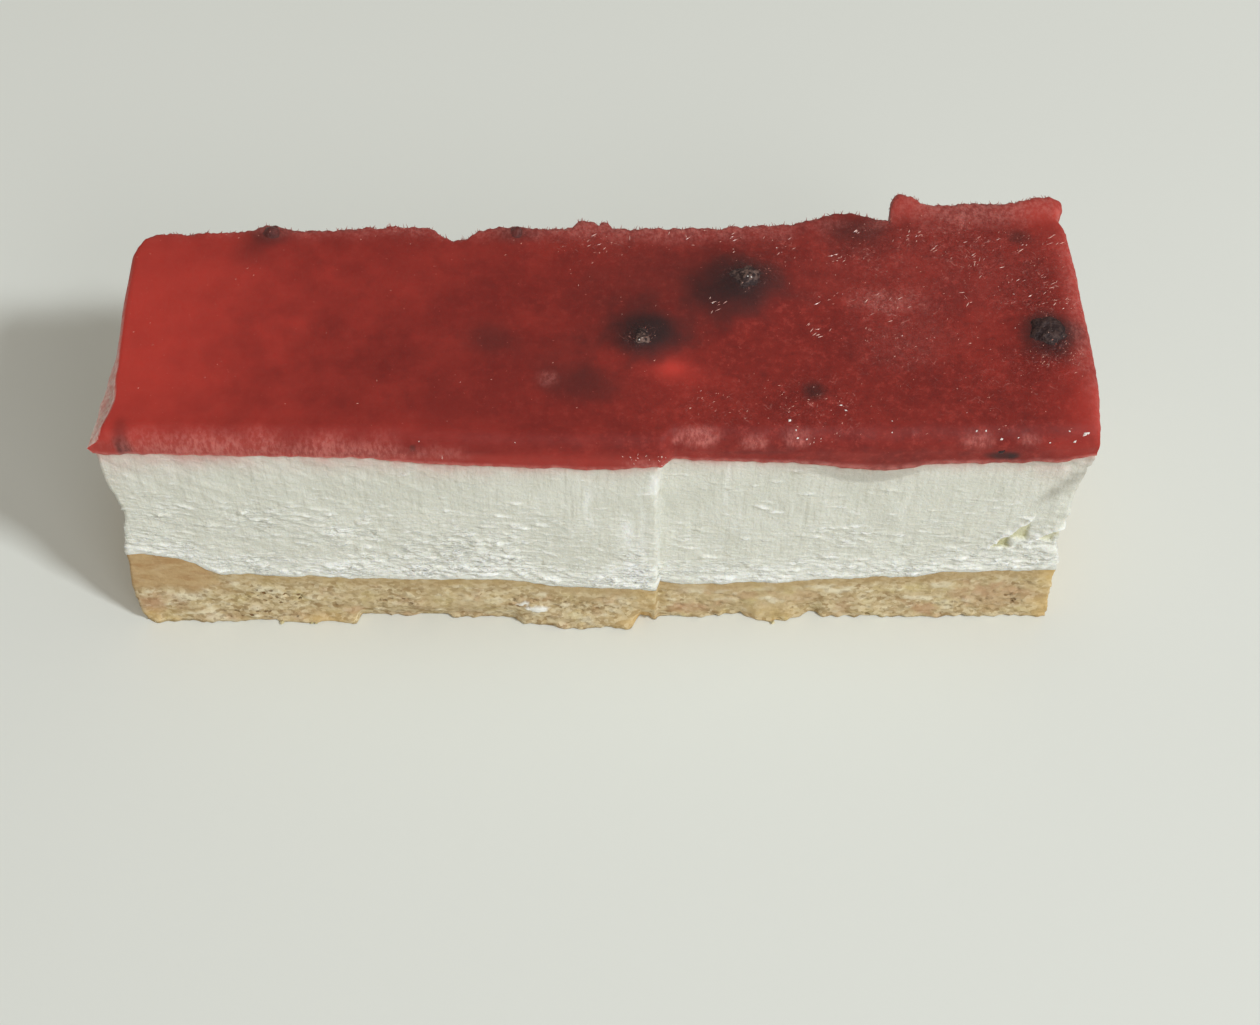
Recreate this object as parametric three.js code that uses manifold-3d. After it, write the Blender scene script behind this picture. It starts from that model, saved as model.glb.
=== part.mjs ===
// A bar of layered cheesecake: a pressed crumb base, a set cream filling and a berry jelly.
// Millimetres, +Z up. The origin is the middle of the underside, +X runs along the bar, and the
// front cut, which was made in two knife strokes that don't quite meet, faces -Y.
import * as THREE from "three";
import { ImprovedNoise } from "three/addons/math/ImprovedNoise.js";
import { mergeVertices } from "three/addons/utils/BufferGeometryUtils.js";
import Module from "manifold-3d";

// Driving dimensions
const LENGTH = 140;
const DEPTH = 38.5;
const BASE_HEIGHT = 12;
const CREAM_HEIGHT = 31;
const JELLY_HEIGHT = 5;
const LAYER_GAP = 0.3;

// The two knife strokes of the front cut: how far each end stands behind the nominal front
const STEP_AT = 8.5;
const STEP_WIDTH = 0.6;
const LEFT_STROKE = { start: 0.5, end: -1.6 };
const RIGHT_STROKE = { start: 0.1, end: -0.5 };

// The back cut: [along the bar, behind its nominal place]
const BACK_CUT = [[-70, -1.2], [-46, -0.6], [-28, 0.3], [15, 0.4], [30, 1.1], [70, 1.6]];

// The ends in plan: [from the front, towards +X], and the corner that the tin left round
const LEFT_PLAN = [[0, 0], [7, 1.2], [20, 1.5], [38, 1.8]];
const RIGHT_PLAN = [[0, 0], [14, 0.7], [28, 0.6], [37, 0.1], [44, -0.6]];
const TIN_CORNER = 5;

// How far the two ends stand off at each height: [height, towards +X]
const LEFT_END = [[0, -1.2], [9, -1.5], [18, -0.7], [24, 0.2], [30, 1.2], [38, 0.2], [49, 0.2]];
const RIGHT_END = [[0, -0.4], [10, -1.2], [14, -1.1], [22, -2.4], [33, -2], [41, -0.7], [49, -0.5]];
const END_REACH = 10;

// Where one layer meets the next along the front: [along the bar, above the layer's nominal height]
const BASE_TOP = [
  [-70, 7.2], [-63.5, 6.9], [-57, 2.3], [-30, 1.4], [-17, 1.5], [0, -0.8], [8, -1],
  [12, -1.9], [24, -1.7], [40, -0.5], [60, 1.3], [70, 1.3],
];
const CREAM_TOP = [
  [-70, 1.7], [-36, 1.6], [-20, 0.1], [0, -0.4], [8, 0.3], [15, -0.3], [26, -0.8], [40, -2.6],
  [50, -0.8], [64, -0.6], [70, 0.8],
];
const JELLY_TOP = [[-70, 1.2], [-30, 0.9], [-8, 0.1], [40, -0.4], [58, -0.2], [70, 0.2]];
const SWELL = { height: 0.35, across: 26 };

// Crumb base: broken relief of its cut faces, and the foot of the front cut, which is undercut in
// places and stands out in others: from and to along the bar, and how far out
const CRAG = { size: 3.4, depth: 0.55, fine: 1.7 };
const FOOT_HEIGHT = 6;
const FOOT = [
  { from: -38, to: -13, out: -1.5 },
  { from: -7.5, to: 4.6, out: 0.5 },
  { from: 5.6, to: 8.2, out: -2.1 },
  { from: 19, to: 22, out: -0.7 },
  { from: 23.5, to: 29.5, out: 0.9 },
  { from: 31.5, to: 34, out: -0.9 },
];

// Cream filling: the shallow waves of the knife, and a torn pocket low at the right of the front cut
const KNIFE_WAVE = { size: 9, depth: 0.22 };
const TEAR = { along: 62.5, up: 23.5, width: 4.6, height: 2.6, depth: 1.7, slant: 0.45 };

// Berry jelly: its rounded rim, and what pushes its back edge out or in: place, half width, reach
const RIM = 1.3;
const DIMPLE = { size: 7, depth: 0.12 };
const BACK_LUMPS = [
  { at: -48, width: 2.4, reach: 0.8 },
  { at: -21, width: 2.8, reach: -2.6 },
  { at: -0.7, width: 2.4, reach: 1.1 },
  { at: 36.8, width: 5.2, reach: 2.4 },
];
const FLAP = { from: 43.6, rise: 1.2, reach: 3.4, thickness: 3.4 };
const FLAP_LOBES = [
  { at: 46, width: 2, reach: 3 },
  { at: 62.6, width: 1.4, reach: -0.8 },
  { at: 66.6, width: 2.2, reach: 0.5 },
];

// Berries that break the jelly's surface: middle along and from the front, width, height, how far
// they stand proud of the jelly, and the way their crown leans
const BERRY_SIDES = 14;
const BERRIES = {
  berry_middle: { at: [6.6, 18.9], width: 8.6, height: 5.2, proud: 0.9, lean: [-0.35, -0.2] },
  berry_rear_middle: { at: [20.9, 27.8], width: 9.8, height: 5.3, proud: 1, lean: [0.3, 0.35] },
  berry_right: { at: [64.2, 17.7], width: 7.6, height: 5, proud: 0.8, lean: [-0.15, 0.15] },
  berry_front_cut: { at: [56.2, 1.5], width: 5.4, height: 3.8, proud: -1, lean: [1.2, 0] },
  berry_back_left: { at: [-48, 36.2], width: 5.8, height: 4.4, proud: 0.5, lean: [-0.5, 0.1] },
  berry_back_middle: { at: [-12, 36.9], width: 4.8, height: 4.2, proud: 0.4, lean: [-0.4, -0.2] },
  currant_front_left: { at: [-65.6, 1.1], width: 3.4, height: 3.4, proud: -0.3, lean: [1, 0.1] },
};

// How finely the layers are divided
const ALONG_STEP = 2.1;
const ACROSS_STEP = 9;
const BASE_UP_STEP = 2.4;
const CREAM_UP_STEP = 3.5;
const JELLY_ACROSS_STEP = 4.4;
const RIM_SHARES = [0, 0.2, 0.55, 1];

const wasm = await Module();
wasm.setup();
const perlin = new ImprovedNoise();
const { clamp, lerp, smoothstep } = THREE.MathUtils;
const HALF = LENGTH / 2;
const FRONT = -DEPTH / 2;

// Smooth noise between about -1 and 1, with lumps of the given size
function lumps(x, y, z, size) {
  return perlin.noise(x / size, y / size, z / size);
}

// A function that runs smoothly through the given points and stays level beyond them
function through(points) {
  return (t) => {
    const next = points.findIndex(([at]) => at > t);
    if (next === 0) return points[0][1];
    if (next < 0) return points.at(-1)[1];
    const [[t0, v0], [t1, v1]] = [points[next - 1], points[next]];
    return lerp(v0, v1, smoothstep(t, t0, t1));
  };
}

// A round swelling of height 1 at a place
function swelling(t, at, width) {
  return Math.exp(-(((t - at) / width) ** 2));
}

const [backCut, leftEnd, rightEnd] = [BACK_CUT, LEFT_END, RIGHT_END].map(through);
const [leftPlan, rightPlan] = [LEFT_PLAN, RIGHT_PLAN].map(through);
const [baseTop, creamTop, jellyTop] = [BASE_TOP, CREAM_TOP, JELLY_TOP].map(through);

// The front cut's place at a distance along the bar
function frontAt(x) {
  const left = lerp(LEFT_STROKE.start, LEFT_STROKE.end, clamp((x + HALF) / (STEP_AT + HALF), 0, 1));
  const right = lerp(RIGHT_STROKE.start, RIGHT_STROKE.end, clamp((x - STEP_AT) / (HALF - STEP_AT), 0, 1));
  return FRONT + lerp(left, right, smoothstep(x, STEP_AT - STEP_WIDTH / 2, STEP_AT + STEP_WIDTH / 2));
}

function backAt(x) {
  return -FRONT + backCut(x);
}

// The heights where base and cream meet, where cream and jelly meet, and of the jelly's top
function swellAt(x, y) {
  return SWELL.height * Math.sin((y - FRONT) / SWELL.across + x / (2 * SWELL.across));
}

const baseTopAt = (x, y) => BASE_HEIGHT + baseTop(x) + swellAt(x, y);
const creamTopAt = (x, y) => BASE_HEIGHT + CREAM_HEIGHT + creamTop(x) - swellAt(x, y);
const jellyTopAt = (x, y) =>
  BASE_HEIGHT + CREAM_HEIGHT + JELLY_HEIGHT + jellyTop(x) + DIMPLE.depth * lumps(x, y, 0, DIMPLE.size);

// Moves a point with the two ends, which aren't plumb, and rounds the corner that the tin made
function leanEnds(point) {
  const { x, y, z } = point;
  point.x += (leftEnd(z) + leftPlan(y - FRONT)) * (1 - smoothstep(x, -HALF, -HALF + END_REACH));
  point.x += (rightEnd(z) + rightPlan(y - FRONT)) * smoothstep(x, HALF - END_REACH, HALF);
  const a = (-HALF + TIN_CORNER - x) / TIN_CORNER;
  const b = Math.min(1, (y - backAt(x) + TIN_CORNER) / TIN_CORNER);
  if (a > 0 && b > 0) {
    point.x -= TIN_CORNER * a * (Math.sqrt(1 - b ** 2 / 2) - 1);
    point.y += TIN_CORNER * b * (Math.sqrt(1 - a ** 2 / 2) - 1);
  }
  return point;
}

// Even steps between places, with each place itself a step
function stations(places, step) {
  const made = [places[0]];
  for (let n = 1; n < places.length; n++) {
    const count = Math.max(1, Math.round((places[n] - places[n - 1]) / step));
    for (let k = 1; k <= count; k++) made.push(lerp(places[n - 1], places[n], k / count));
  }
  return made;
}

// The same, with finer steps over the rounded rim at both ends
function rimStations(places, step) {
  const [low, high] = [places[0], places.at(-1)];
  const lead = RIM_SHARES.map((share) => low + share * RIM);
  const tail = RIM_SHARES.map((share) => high - share * RIM).reverse();
  const middle = stations([lead.at(-1), ...places.slice(1, -1), tail[0]], step);
  return [...lead.slice(0, -1), ...middle, ...tail.slice(1)];
}

const STEP_EDGES = [STEP_AT - STEP_WIDTH / 2, STEP_AT + STEP_WIDTH / 2];
const FLAP_EDGES = [FLAP.from, FLAP.from + FLAP.rise];

// A block of grid cells, each corner of which is put in place by a function of its stations
function block(along, across, up, place) {
  const cells = [along.length - 1, across.length - 1, up.length - 1];
  const geometry = new THREE.BoxGeometry(...cells, ...cells);
  const position = geometry.attributes.position;
  const corner = new THREE.Vector3();
  for (let n = 0; n < position.count; n++) {
    corner.fromBufferAttribute(position, n);
    const [i, j, k] = corner.toArray().map((value, axis) => Math.round(value + cells[axis] / 2));
    corner.copy(place(along[i], across[j], up[k]));
    position.setXYZ(n, corner.x, corner.y, corner.z);
  }
  return geometry;
}

// A geometry as a solid that can be joined and cut, and back
function solidOf(geometry) {
  const bare = new THREE.BufferGeometry();
  bare.setAttribute("position", geometry.attributes.position);
  bare.setIndex(geometry.index);
  const merged = mergeVertices(bare, 1e-4);
  return new wasm.Manifold(
    new wasm.Mesh({
      numProp: 3,
      vertProperties: merged.attributes.position.array,
      triVerts: new Uint32Array(merged.index.array),
    }),
  );
}

function geometryOf(solid) {
  const mesh = solid.getMesh();
  const geometry = new THREE.BufferGeometry();
  geometry.setAttribute("position", new THREE.BufferAttribute(mesh.vertProperties, 3));
  geometry.setIndex(new THREE.BufferAttribute(mesh.triVerts, 1));
  geometry.computeVertexNormals();
  return geometry;
}

// How far the base's front stands out at its foot
function footOut(x, z) {
  const low = 1 - smoothstep(z, 0, FOOT_HEIGHT);
  const blend = 0.8;
  return FOOT.reduce((sum, { from, to, out }) => {
    const inside = smoothstep(x, from - blend, from + blend) * (1 - smoothstep(x, to - blend, to + blend));
    return sum + out * inside * low;
  }, 0);
}

// Crumb base: flat underneath, broken all round
function crumbBase() {
  const along = stations([-HALF, ...STEP_EDGES, HALF], ALONG_STEP);
  const across = stations([0, 1], ACROSS_STEP / DEPTH);
  const up = stations([0, 1], BASE_UP_STEP / BASE_HEIGHT);
  return block(along, across, up, (x, share, rise) => {
    const y = lerp(frontAt(x), backAt(x), share);
    const z = rise * (baseTopAt(x, y) - LAYER_GAP / 2);
    const crag =
      CRAG.depth * (0.6 * lumps(x, y, z, CRAG.size) + 0.4 * lumps(x, y + LENGTH, z, CRAG.fine));
    const point = leanEnds(new THREE.Vector3(x, y, z));
    if (share === 0) point.y -= crag + footOut(x, z);
    if (share === 1) point.y += crag;
    if (x === -HALF) point.x -= crag;
    if (x === HALF) point.x += crag;
    return point;
  });
}

// Cream filling: smooth knife waves on its cut faces and one torn pocket
function creamFilling() {
  const along = stations([-HALF, ...STEP_EDGES, HALF], ALONG_STEP);
  const across = stations([0, 1], ACROSS_STEP / DEPTH);
  const up = stations([0, 1], CREAM_UP_STEP / CREAM_HEIGHT);
  return block(along, across, up, (x, share, rise) => {
    const y = lerp(frontAt(x), backAt(x), share);
    const z = lerp(baseTopAt(x, y) + LAYER_GAP / 2, creamTopAt(x, y) - LAYER_GAP / 2, rise);
    const wave = KNIFE_WAVE.depth * lumps(x, y, z, KNIFE_WAVE.size);
    const rim = rise * (1 - rise) > 0 ? 1 : 0;
    const tearRise = TEAR.up + TEAR.slant * (x - TEAR.along);
    const tear = TEAR.depth * swelling(x, TEAR.along, TEAR.width) * swelling(z, tearRise, TEAR.height);
    const point = leanEnds(new THREE.Vector3(x, y, z));
    if (share === 0) point.y += rim * (tear - wave);
    if (share === 1) point.y += rim * wave;
    if (x === -HALF) point.x -= rim * wave;
    if (x === HALF) point.x += rim * wave;
    return point;
  });
}

// How far the jelly's back edge stands beyond the back cut
function jellyOverhang(x) {
  const sum = (features) =>
    features.reduce((total, { at, width, reach }) => total + reach * swelling(x, at, width), 0);
  const flap = smoothstep(x, FLAP.from, FLAP.from + FLAP.rise) * (FLAP.reach + sum(FLAP_LOBES));
  return flap + sum(BACK_LUMPS);
}

// How far a rounded rim falls away at a distance from its edge
function rimDrop(distance) {
  const inside = clamp(RIM - distance, 0, RIM);
  return RIM - Math.sqrt(RIM ** 2 - inside ** 2);
}

// Berry jelly before its berries are set in: a slab with a rounded rim and a flap over the back
function jellySlab() {
  const along = rimStations([-HALF, ...STEP_EDGES, ...FLAP_EDGES, HALF], ALONG_STEP);
  const across = rimStations([0, DEPTH], JELLY_ACROSS_STEP);
  const up = stations([0, 1], 1 / 2);
  return block(along, across, up, (x, reach, rise) => {
    const share = reach / DEPTH;
    const back = backAt(x) + jellyOverhang(x);
    const y = lerp(frontAt(x), back, share);
    const edge = Math.min(x + HALF, HALF - x, reach, DEPTH - reach);
    const top = jellyTopAt(x, y) - rimDrop(edge);
    const bottom = creamTopAt(x, Math.min(y, backAt(x))) + LAYER_GAP / 2;
    const thinned = Math.max(0, JELLY_HEIGHT - FLAP.thickness);
    const lift = thinned * smoothstep(y - backAt(x), 0, FLAP.reach);
    return leanEnds(new THREE.Vector3(x, y, lerp(bottom + lift, top, rise)));
  });
}

// A berry: a flattened ball with the ring of its crown round a small dent, leaning its own way
function berryGeometry({ at, width, height, proud, lean }, clearance) {
  const crown = 0.24;
  const dent = 0.12;
  const profile = [new THREE.Vector2(0, -1)];
  for (let turn = -60; turn <= 60; turn += 30) {
    const angle = THREE.MathUtils.degToRad(turn);
    profile.push(new THREE.Vector2(Math.cos(angle), Math.sin(angle)));
  }
  profile.push(new THREE.Vector2(crown, 1), new THREE.Vector2(0, 1 - dent));
  const [radius, half] = [width / 2 + clearance, height / 2 + clearance];
  const geometry = new THREE.LatheGeometry(profile, BERRY_SIDES);
  const [x, y] = [at[0], FRONT + at[1]];
  const middle = jellyTopAt(x, y) + proud - height / 2;
  const stand = new THREE.Matrix4().makeRotationX(Math.PI / 2);
  const tilt = new THREE.Matrix4().makeRotationFromEuler(new THREE.Euler(lean[0], lean[1], 0));
  const size = new THREE.Matrix4().makeScale(radius, radius, half);
  const place = new THREE.Matrix4().makeTranslation(x, y, middle);
  return geometry.applyMatrix4(place.multiply(size).multiply(tilt).multiply(stand));
}

// Berry jelly with a pocket round each berry
function berryJelly() {
  const pockets = Object.values(BERRIES).map((berry) => solidOf(berryGeometry(berry, LAYER_GAP)));
  return geometryOf(pockets.reduce((jelly, pocket) => jelly.subtract(pocket), solidOf(jellySlab())));
}

function finish(color, roughness) {
  return new THREE.MeshStandardMaterial({ color, roughness, metalness: 0 });
}

const crumb = finish(0xb89f76, 0.9);
const cream = finish(0xe6e5da, 0.6);
const jelly = finish(0x8c2a26, 0.3);
const darkSkin = finish(0x2e2027, 0.45);
const redSkin = finish(0x7a1f20, 0.3);

const cheesecake = new THREE.Group();

function addPiece(name, geometry, material) {
  const piece = new THREE.Mesh(geometry, material);
  piece.name = name;
  cheesecake.add(piece);
}

addPiece("crumb_base", crumbBase(), crumb);
addPiece("cream_filling", creamFilling(), cream);
addPiece("berry_jelly", berryJelly(), jelly);
for (const [name, berry] of Object.entries(BERRIES)) {
  addPiece(name, berryGeometry(berry, 0), name.startsWith("currant") ? redSkin : darkSkin);
}

export default cheesecake;
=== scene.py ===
"""A bar of layered cheesecake: crumb base, set cream and berry jelly, dressed over its solids.

Shapes are worked out in millimetres in the part's own frame: +X along the bar, the front cut
towards -Y, the underside at height 0. Meshes are made in metres.
"""
import math

import bpy
import numpy as np
from mathutils import Matrix, Vector
from mathutils.bvhtree import BVHTree


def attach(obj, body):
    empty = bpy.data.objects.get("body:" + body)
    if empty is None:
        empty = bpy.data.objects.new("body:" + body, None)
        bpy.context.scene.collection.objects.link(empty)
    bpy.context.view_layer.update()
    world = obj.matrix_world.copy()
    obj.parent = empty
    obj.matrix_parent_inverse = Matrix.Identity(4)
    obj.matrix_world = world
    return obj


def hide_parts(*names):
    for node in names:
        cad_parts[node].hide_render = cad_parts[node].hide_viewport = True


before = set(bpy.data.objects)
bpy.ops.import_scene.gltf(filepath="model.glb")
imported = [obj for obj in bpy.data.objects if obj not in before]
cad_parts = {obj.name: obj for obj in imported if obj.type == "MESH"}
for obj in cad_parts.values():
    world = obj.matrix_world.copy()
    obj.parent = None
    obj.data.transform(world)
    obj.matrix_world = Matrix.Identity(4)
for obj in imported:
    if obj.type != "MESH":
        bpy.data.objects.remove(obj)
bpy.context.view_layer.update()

MM = 0.001
BODY = "root"

# Sizes of the bar, as in the solids
LENGTH = 140.0
DEPTH = 38.5
BASE_HEIGHT = 12.0
CREAM_HEIGHT = 31.0
JELLY_HEIGHT = 5.0
HALF = LENGTH / 2
FRONT = -DEPTH / 2

STEP_AT = 8.5
STEP_WIDTH = 0.6
LEFT_STROKE = (0.5, -1.6)
RIGHT_STROKE = (0.1, -0.5)
BACK_CUT = [(-70, -1.2), (-46, -0.6), (-28, 0.3), (15, 0.4), (30, 1.1), (70, 1.6)]
LEFT_PLAN = [(0, 0), (7, 1.2), (20, 1.5), (38, 1.8)]
RIGHT_PLAN = [(0, 0), (14, 0.7), (28, 0.6), (37, 0.1), (44, -0.6)]
TIN_CORNER = 5.0
LEFT_END = [(0, -1.2), (9, -1.5), (18, -0.7), (24, 0.2), (30, 1.2), (38, 0.2), (49, 0.2)]
RIGHT_END = [(0, -0.4), (10, -1.2), (14, -1.1), (22, -2.4), (33, -2), (41, -0.7), (49, -0.5)]
END_REACH = 10.0
BASE_TOP = [
    (-70, 7.2), (-63.5, 6.9), (-57, 2.3), (-30, 1.4), (-17, 1.5), (0, -0.8), (8, -1),
    (12, -1.9), (24, -1.7), (40, -0.5), (60, 1.3), (70, 1.3),
]
CREAM_TOP = [
    (-70, 1.7), (-36, 1.6), (-20, 0.1), (0, -0.4), (8, 0.3), (15, -0.3), (26, -0.8), (40, -2.6),
    (50, -0.8), (64, -0.6), (70, 0.8),
]
JELLY_TOP = [(-70, 1.2), (-30, 0.9), (-8, 0.1), (40, -0.4), (58, -0.2), (70, 0.2)]
SWELL_HEIGHT = 0.35
SWELL_ACROSS = 26.0
FOOT_HEIGHT = 6.0
FOOT = [
    (-38, -13, -1.5), (-7.5, 4.6, 0.5), (5.6, 8.2, -2.1), (19, 22, -0.7), (23.5, 29.5, 0.9),
    (31.5, 34, -0.9),
]
RIM = 1.3
FRONT_RIM, FRONT_DROP = 2.6, 3.0
JELLY_STEP_AT, JELLY_STEP_WIDTH = 9.6, 2.2
JELLY_PROUD = 0.25
LIP_IN, LIP_OUT, LIP_FOOT, LIP_TIP, LIP_DEPTH = 0.8, 1.2, 0.4, 0.42, 16.0
BACK_LUMPS = [(-48, 2.4, 0.8), (-21, 2.8, -2.6), (36.8, 5.2, 2.4)]
ROUND_LUMPS = [(-1.6, 1.8, 1.6), (1.2, 0.8, 1.2)]
FLAP_FROM, FLAP_ROUND, FLAP_REACH, FLAP_THICKNESS = 43.6, 2.2, 3.4, 3.4
FLAP_LOBES = [(45.6, 2.6, 2.5), (56, 2.0, 0.3), (67.3, 3.0, 0.8)]
CREAM_LEVEL = BASE_HEIGHT + CREAM_HEIGHT
JELLY_LEVEL = CREAM_LEVEL + JELLY_HEIGHT
FOOT_BLEND = 0.8

# Steps of the meshes: along, across and up
BASE_STEPS = (0.4, 0.45, 0.4)
CREAM_STEPS = (0.42, 0.6, 0.2)
JELLY_STEP, JELLY_ROWS = 0.33, 10
RIM_SHARES = (0, 0.15, 0.35, 0.65, 1)
FRONT_RIM_SHARES = (0, 0.04, 0.1, 0.18, 0.28, 0.4, 0.53, 0.67, 0.82, 1)
FLAP_SHARES = (0, 0.03, 0.1, 0.2, 0.35, 1)
BALL_SIDES, BALL_ROWS = 64, 40
# Shares of the points kept where layers cover each other, on the cream's back and under the jelly
COVERED_KEPT, CREAM_BACK_KEPT, JELLY_UNDER_KEPT = 0.03, 0.35, 0.05
# How far the base and the jelly lap into the cream
BASE_LAP, JELLY_LAP = 0.1, 0.15

# Berries that have solids: place along and from the front, width, height, how proud, where and how
# widely the wrinkled top breaks through the skin of the jelly, and how strongly it is painted there with
# frost and sheen
BERRIES = {
    "berry_middle": ((6.6, 18.9), 8.6, 5.2, 0.9, (-0.6, -2.6), 1.3, 0.9),
    "berry_rear_middle": ((20.9, 27.8), 9.8, 5.3, 1.0, (0.9, 0.6), 1.9, 0.7),
    "berry_right": ((64.2, 17.7), 7.6, 5.0, 0.8, (0.5, -0.6), 4.2, 0.18),
    "berry_front_cut": ((56.2, 1.5), 5.4, 3.8, -1.0, (0, 0), 0, 0),
    "berry_back_left": ((-48, 36.2), 5.8, 4.4, 0.5, (0.3, 0.8), 1.2, 0.1),
    "berry_back_middle": ((-12, 36.9), 4.8, 4.2, 0.4, (0.2, 0.6), 0.8, 0.3),
    "currant_front_left": ((-65.6, 1.1), 3.4, 3.4, -0.3, (0, 0), 0, 0),
}

# Spots on the front of the base, pale, rosy, close and even, or full of holes: along, height, half
# width, half height, strength
PALE_SPOTS = [
    (-56.0, 12.2, 2.0, 1.6, 0.5), (14.2, 8.6, 2.4, 1.4, 0.65), (36.8, 8.5, 3.4, 1.4, 0.55),
    (52, 9.4, 2.0, 1.3, 0.45), (-50, 9.4, 3.5, 1.2, 0.35), (-63, 7.4, 4.0, 1.3, 0.45),
    (-60, 2.4, 4.5, 1.0, 0.4), (18.1, 7.4, 0.9, 0.8, 0.5), (19.2, 5.2, 2.0, 0.8, 0.4),
    (24.9, 8.4, 2.2, 0.9, 0.45), (26.2, 5.4, 1.1, 1.0, 0.5), (50, 5.8, 3.0, 0.9, 0.4),
]
ROSY_SPOTS = [
    (50.5, 2.4, 2.2, 1.7, 1.0), (-69.5, 4.5, 2.2, 3.0, 0.8), (13, 2.8, 3.2, 1.6, 0.7), (55, 7, 2, 2, 0.5),
    (61, 6, 5, 4, 0.45), (22, 6.6, 2.4, 1.4, 0.5), (-38, 3.6, 2.2, 1.3, 0.7), (31, 6, 3, 2, 0.4),
]
EVEN_SPOTS = [
    (22, 6.5, 12, 6, 0.9), (-24, 6.5, 7, 4, 0.6), (0, 9.8, 6, 2.6, 0.6), (-37, 8.5, 4, 4, 0.5),
    (56, 7.5, 11, 4.5, 0.6),
]
# In the pitted spots the holes are also painted darker, as shade.
PITTED = [
    (-49.5, 7.4, 5.0, 2.4, 1.0), (-31, 5.8, 3.4, 2.2, 0.9), (-12, 6.8, 3.4, 2.0, 0.8),
    (-53, 2.4, 7.0, 1.3, 1.0), (-3.5, 6.2, 5.0, 2.4, 0.6), (63, 5.6, 2.6, 2.0, 0.8),
    (52, 4.0, 5.0, 2.0, 0.4), (-65, 6.0, 4.0, 1.8, 0.5), (31, 4, 3, 2, 0.5),
]

# Where the moulded crust of the heel ends, and the heights between which it begins
HEEL_EDGE, CRUST_HEIGHTS = -58.5, (8, 10.5)
# Golden places along the foot of the base: along, half width, strength
TOASTED = [(4.4, 2.2, 1.0), (-43, 4, 1.0), (26.5, 3.5, 0.8)]
# Where the golden ends fade, and the golden edge beside the step: along, half width
TOASTED_RIGHT, TOASTED_LEFT, TOASTED_STEP = (64.5, 69), (-69, -64), (6.6, 1.8)
# A fleck of cream on the base: along, height, half width, half height, how much it is shrunk
FLECKS = [(-10.2, 4.9, 2.1, 1.1, 0), (-12.4, 6.2, 1.5, 0.9, 0.15)]

# Torn facets low at the right of the cream's front: corners as place along and height, clockwise from
# the left, and how yellow each is
FACETS = [
    ([(58.4, 20.4), (60.0, 23.1), (60.5, 20.3)], 1.0), ([(60.5, 23.0), (62.9, 26.3), (62.9, 22.4)], 0.75),
    ([(65.0, 22.8), (67.7, 24.8), (66.8, 22.1)], 0.6),
]
# Patches of the cream's front with more flakes: along, height, half width, half height, strength, slant
FLAKY = [
    (-39, 26, 9, 6, 0.5, -0.25), (-49, 29, 7, 5, 0.35, -0.45), (-63, 30, 4, 4, 0.3, -0.6),
    (-17, 20.5, 6, 5, 1.2, 0.2), (-27, 19, 6, 6, 0.9, -0.1), (-8, 28, 9, 4, 0.4, -0.25),
    (5.5, 16, 3, 5, 1.0, 0.2), (37, 22, 4, 2.5, 0.5, 0.15), (46, 22, 4, 2, 0.6, -0.2),
    (54, 20, 4, 1.4, 0.8, 0), (64, 21, 4, 2.2, 1.0, 0),
]
# Single flakes that stand out: along, height, half length, thickness, slant, bend, lift
LARGE_FLAKES = [
    (-39.0, 25.3, 2.8, 0.5, 0.05, 0.1, 0.45), (-38.9, 30.4, 1.5, 0.2, -0.35, 0, 0.32),
    (-63.3, 31.2, 0.9, 0.2, -0.7, 0, 0.3), (-47.8, 28.4, 2.0, 0.18, -0.5, 0.1, 0.25),
    (-54.2, 33.4, 1.6, 0.18, -0.45, 0, 0.2), (-12.6, 33.8, 1.9, 0.22, -0.2, 0, 0.36),
    (6.6, 36.2, 1.6, 0.18, -0.05, 0, 0.26), (21.8, 22.6, 1.7, 0.2, -0.1, 0, 0.32),
    (25.1, 37.0, 1.4, 0.2, -0.05, 0.1, 0.3), (-28.0, 28.8, 1.0, 0.2, 0, 0, 0.25),
    (36.5, 21.2, 1.4, 0.2, 0, 0.1, 0.32), (44.0, 23.2, 2.2, 0.18, -0.25, 0, 0.3),
    (53.0, 20.0, 2.6, 0.22, 0.05, 0.1, 0.34), (60.0, 19.8, 2.0, 0.2, 0, 0, 0.34),
    (19.5, 34.8, 1.2, 0.18, 0.05, 0, 0.24), (22.1, 36.1, 0.8, 0.2, 0.1, 0, 0.32),
    (18.4, 28.8, 0.7, 0.18, 0, 0, 0.26), (18.5, 25.4, 0.7, 0.16, -0.1, 0, 0.2),
    (16.1, 15.1, 0.5, 0.22, -0.2, 0, 0.36), (19.8, 17.2, 0.8, 0.18, -0.1, 0, 0.3),
    (32.7, 21.1, 0.8, 0.18, 0, 0, 0.3), (34.3, 22.8, 0.9, 0.2, 0.75, 0, 0.4),
    (36.3, 21.8, 1.2, 0.2, -0.35, 0.1, 0.36), (37.0, 23.9, 1.0, 0.18, -0.2, 0, 0.28),
    (-22.4, 34.6, 1.0, 0.2, 0, 0, 0.28), (-22.3, 31.5, 0.8, 0.2, -0.5, 0, 0.3),
    (-8.5, 31.3, 1.1, 0.18, -0.45, 0, 0.26), (-32.5, 34.0, 0.7, 0.18, 0, 0, 0.2),
    (-26.9, 24.2, 1.2, 0.18, 0.05, 0, 0.24), (-21.4, 27.8, 0.8, 0.18, 0.1, 0, 0.3),
    (-40.5, 35.0, 1.2, 0.16, 0, 0, 0.18), (31.7, 28.0, 0.9, 0.2, 1.4, 0, 0.4),
]
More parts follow.
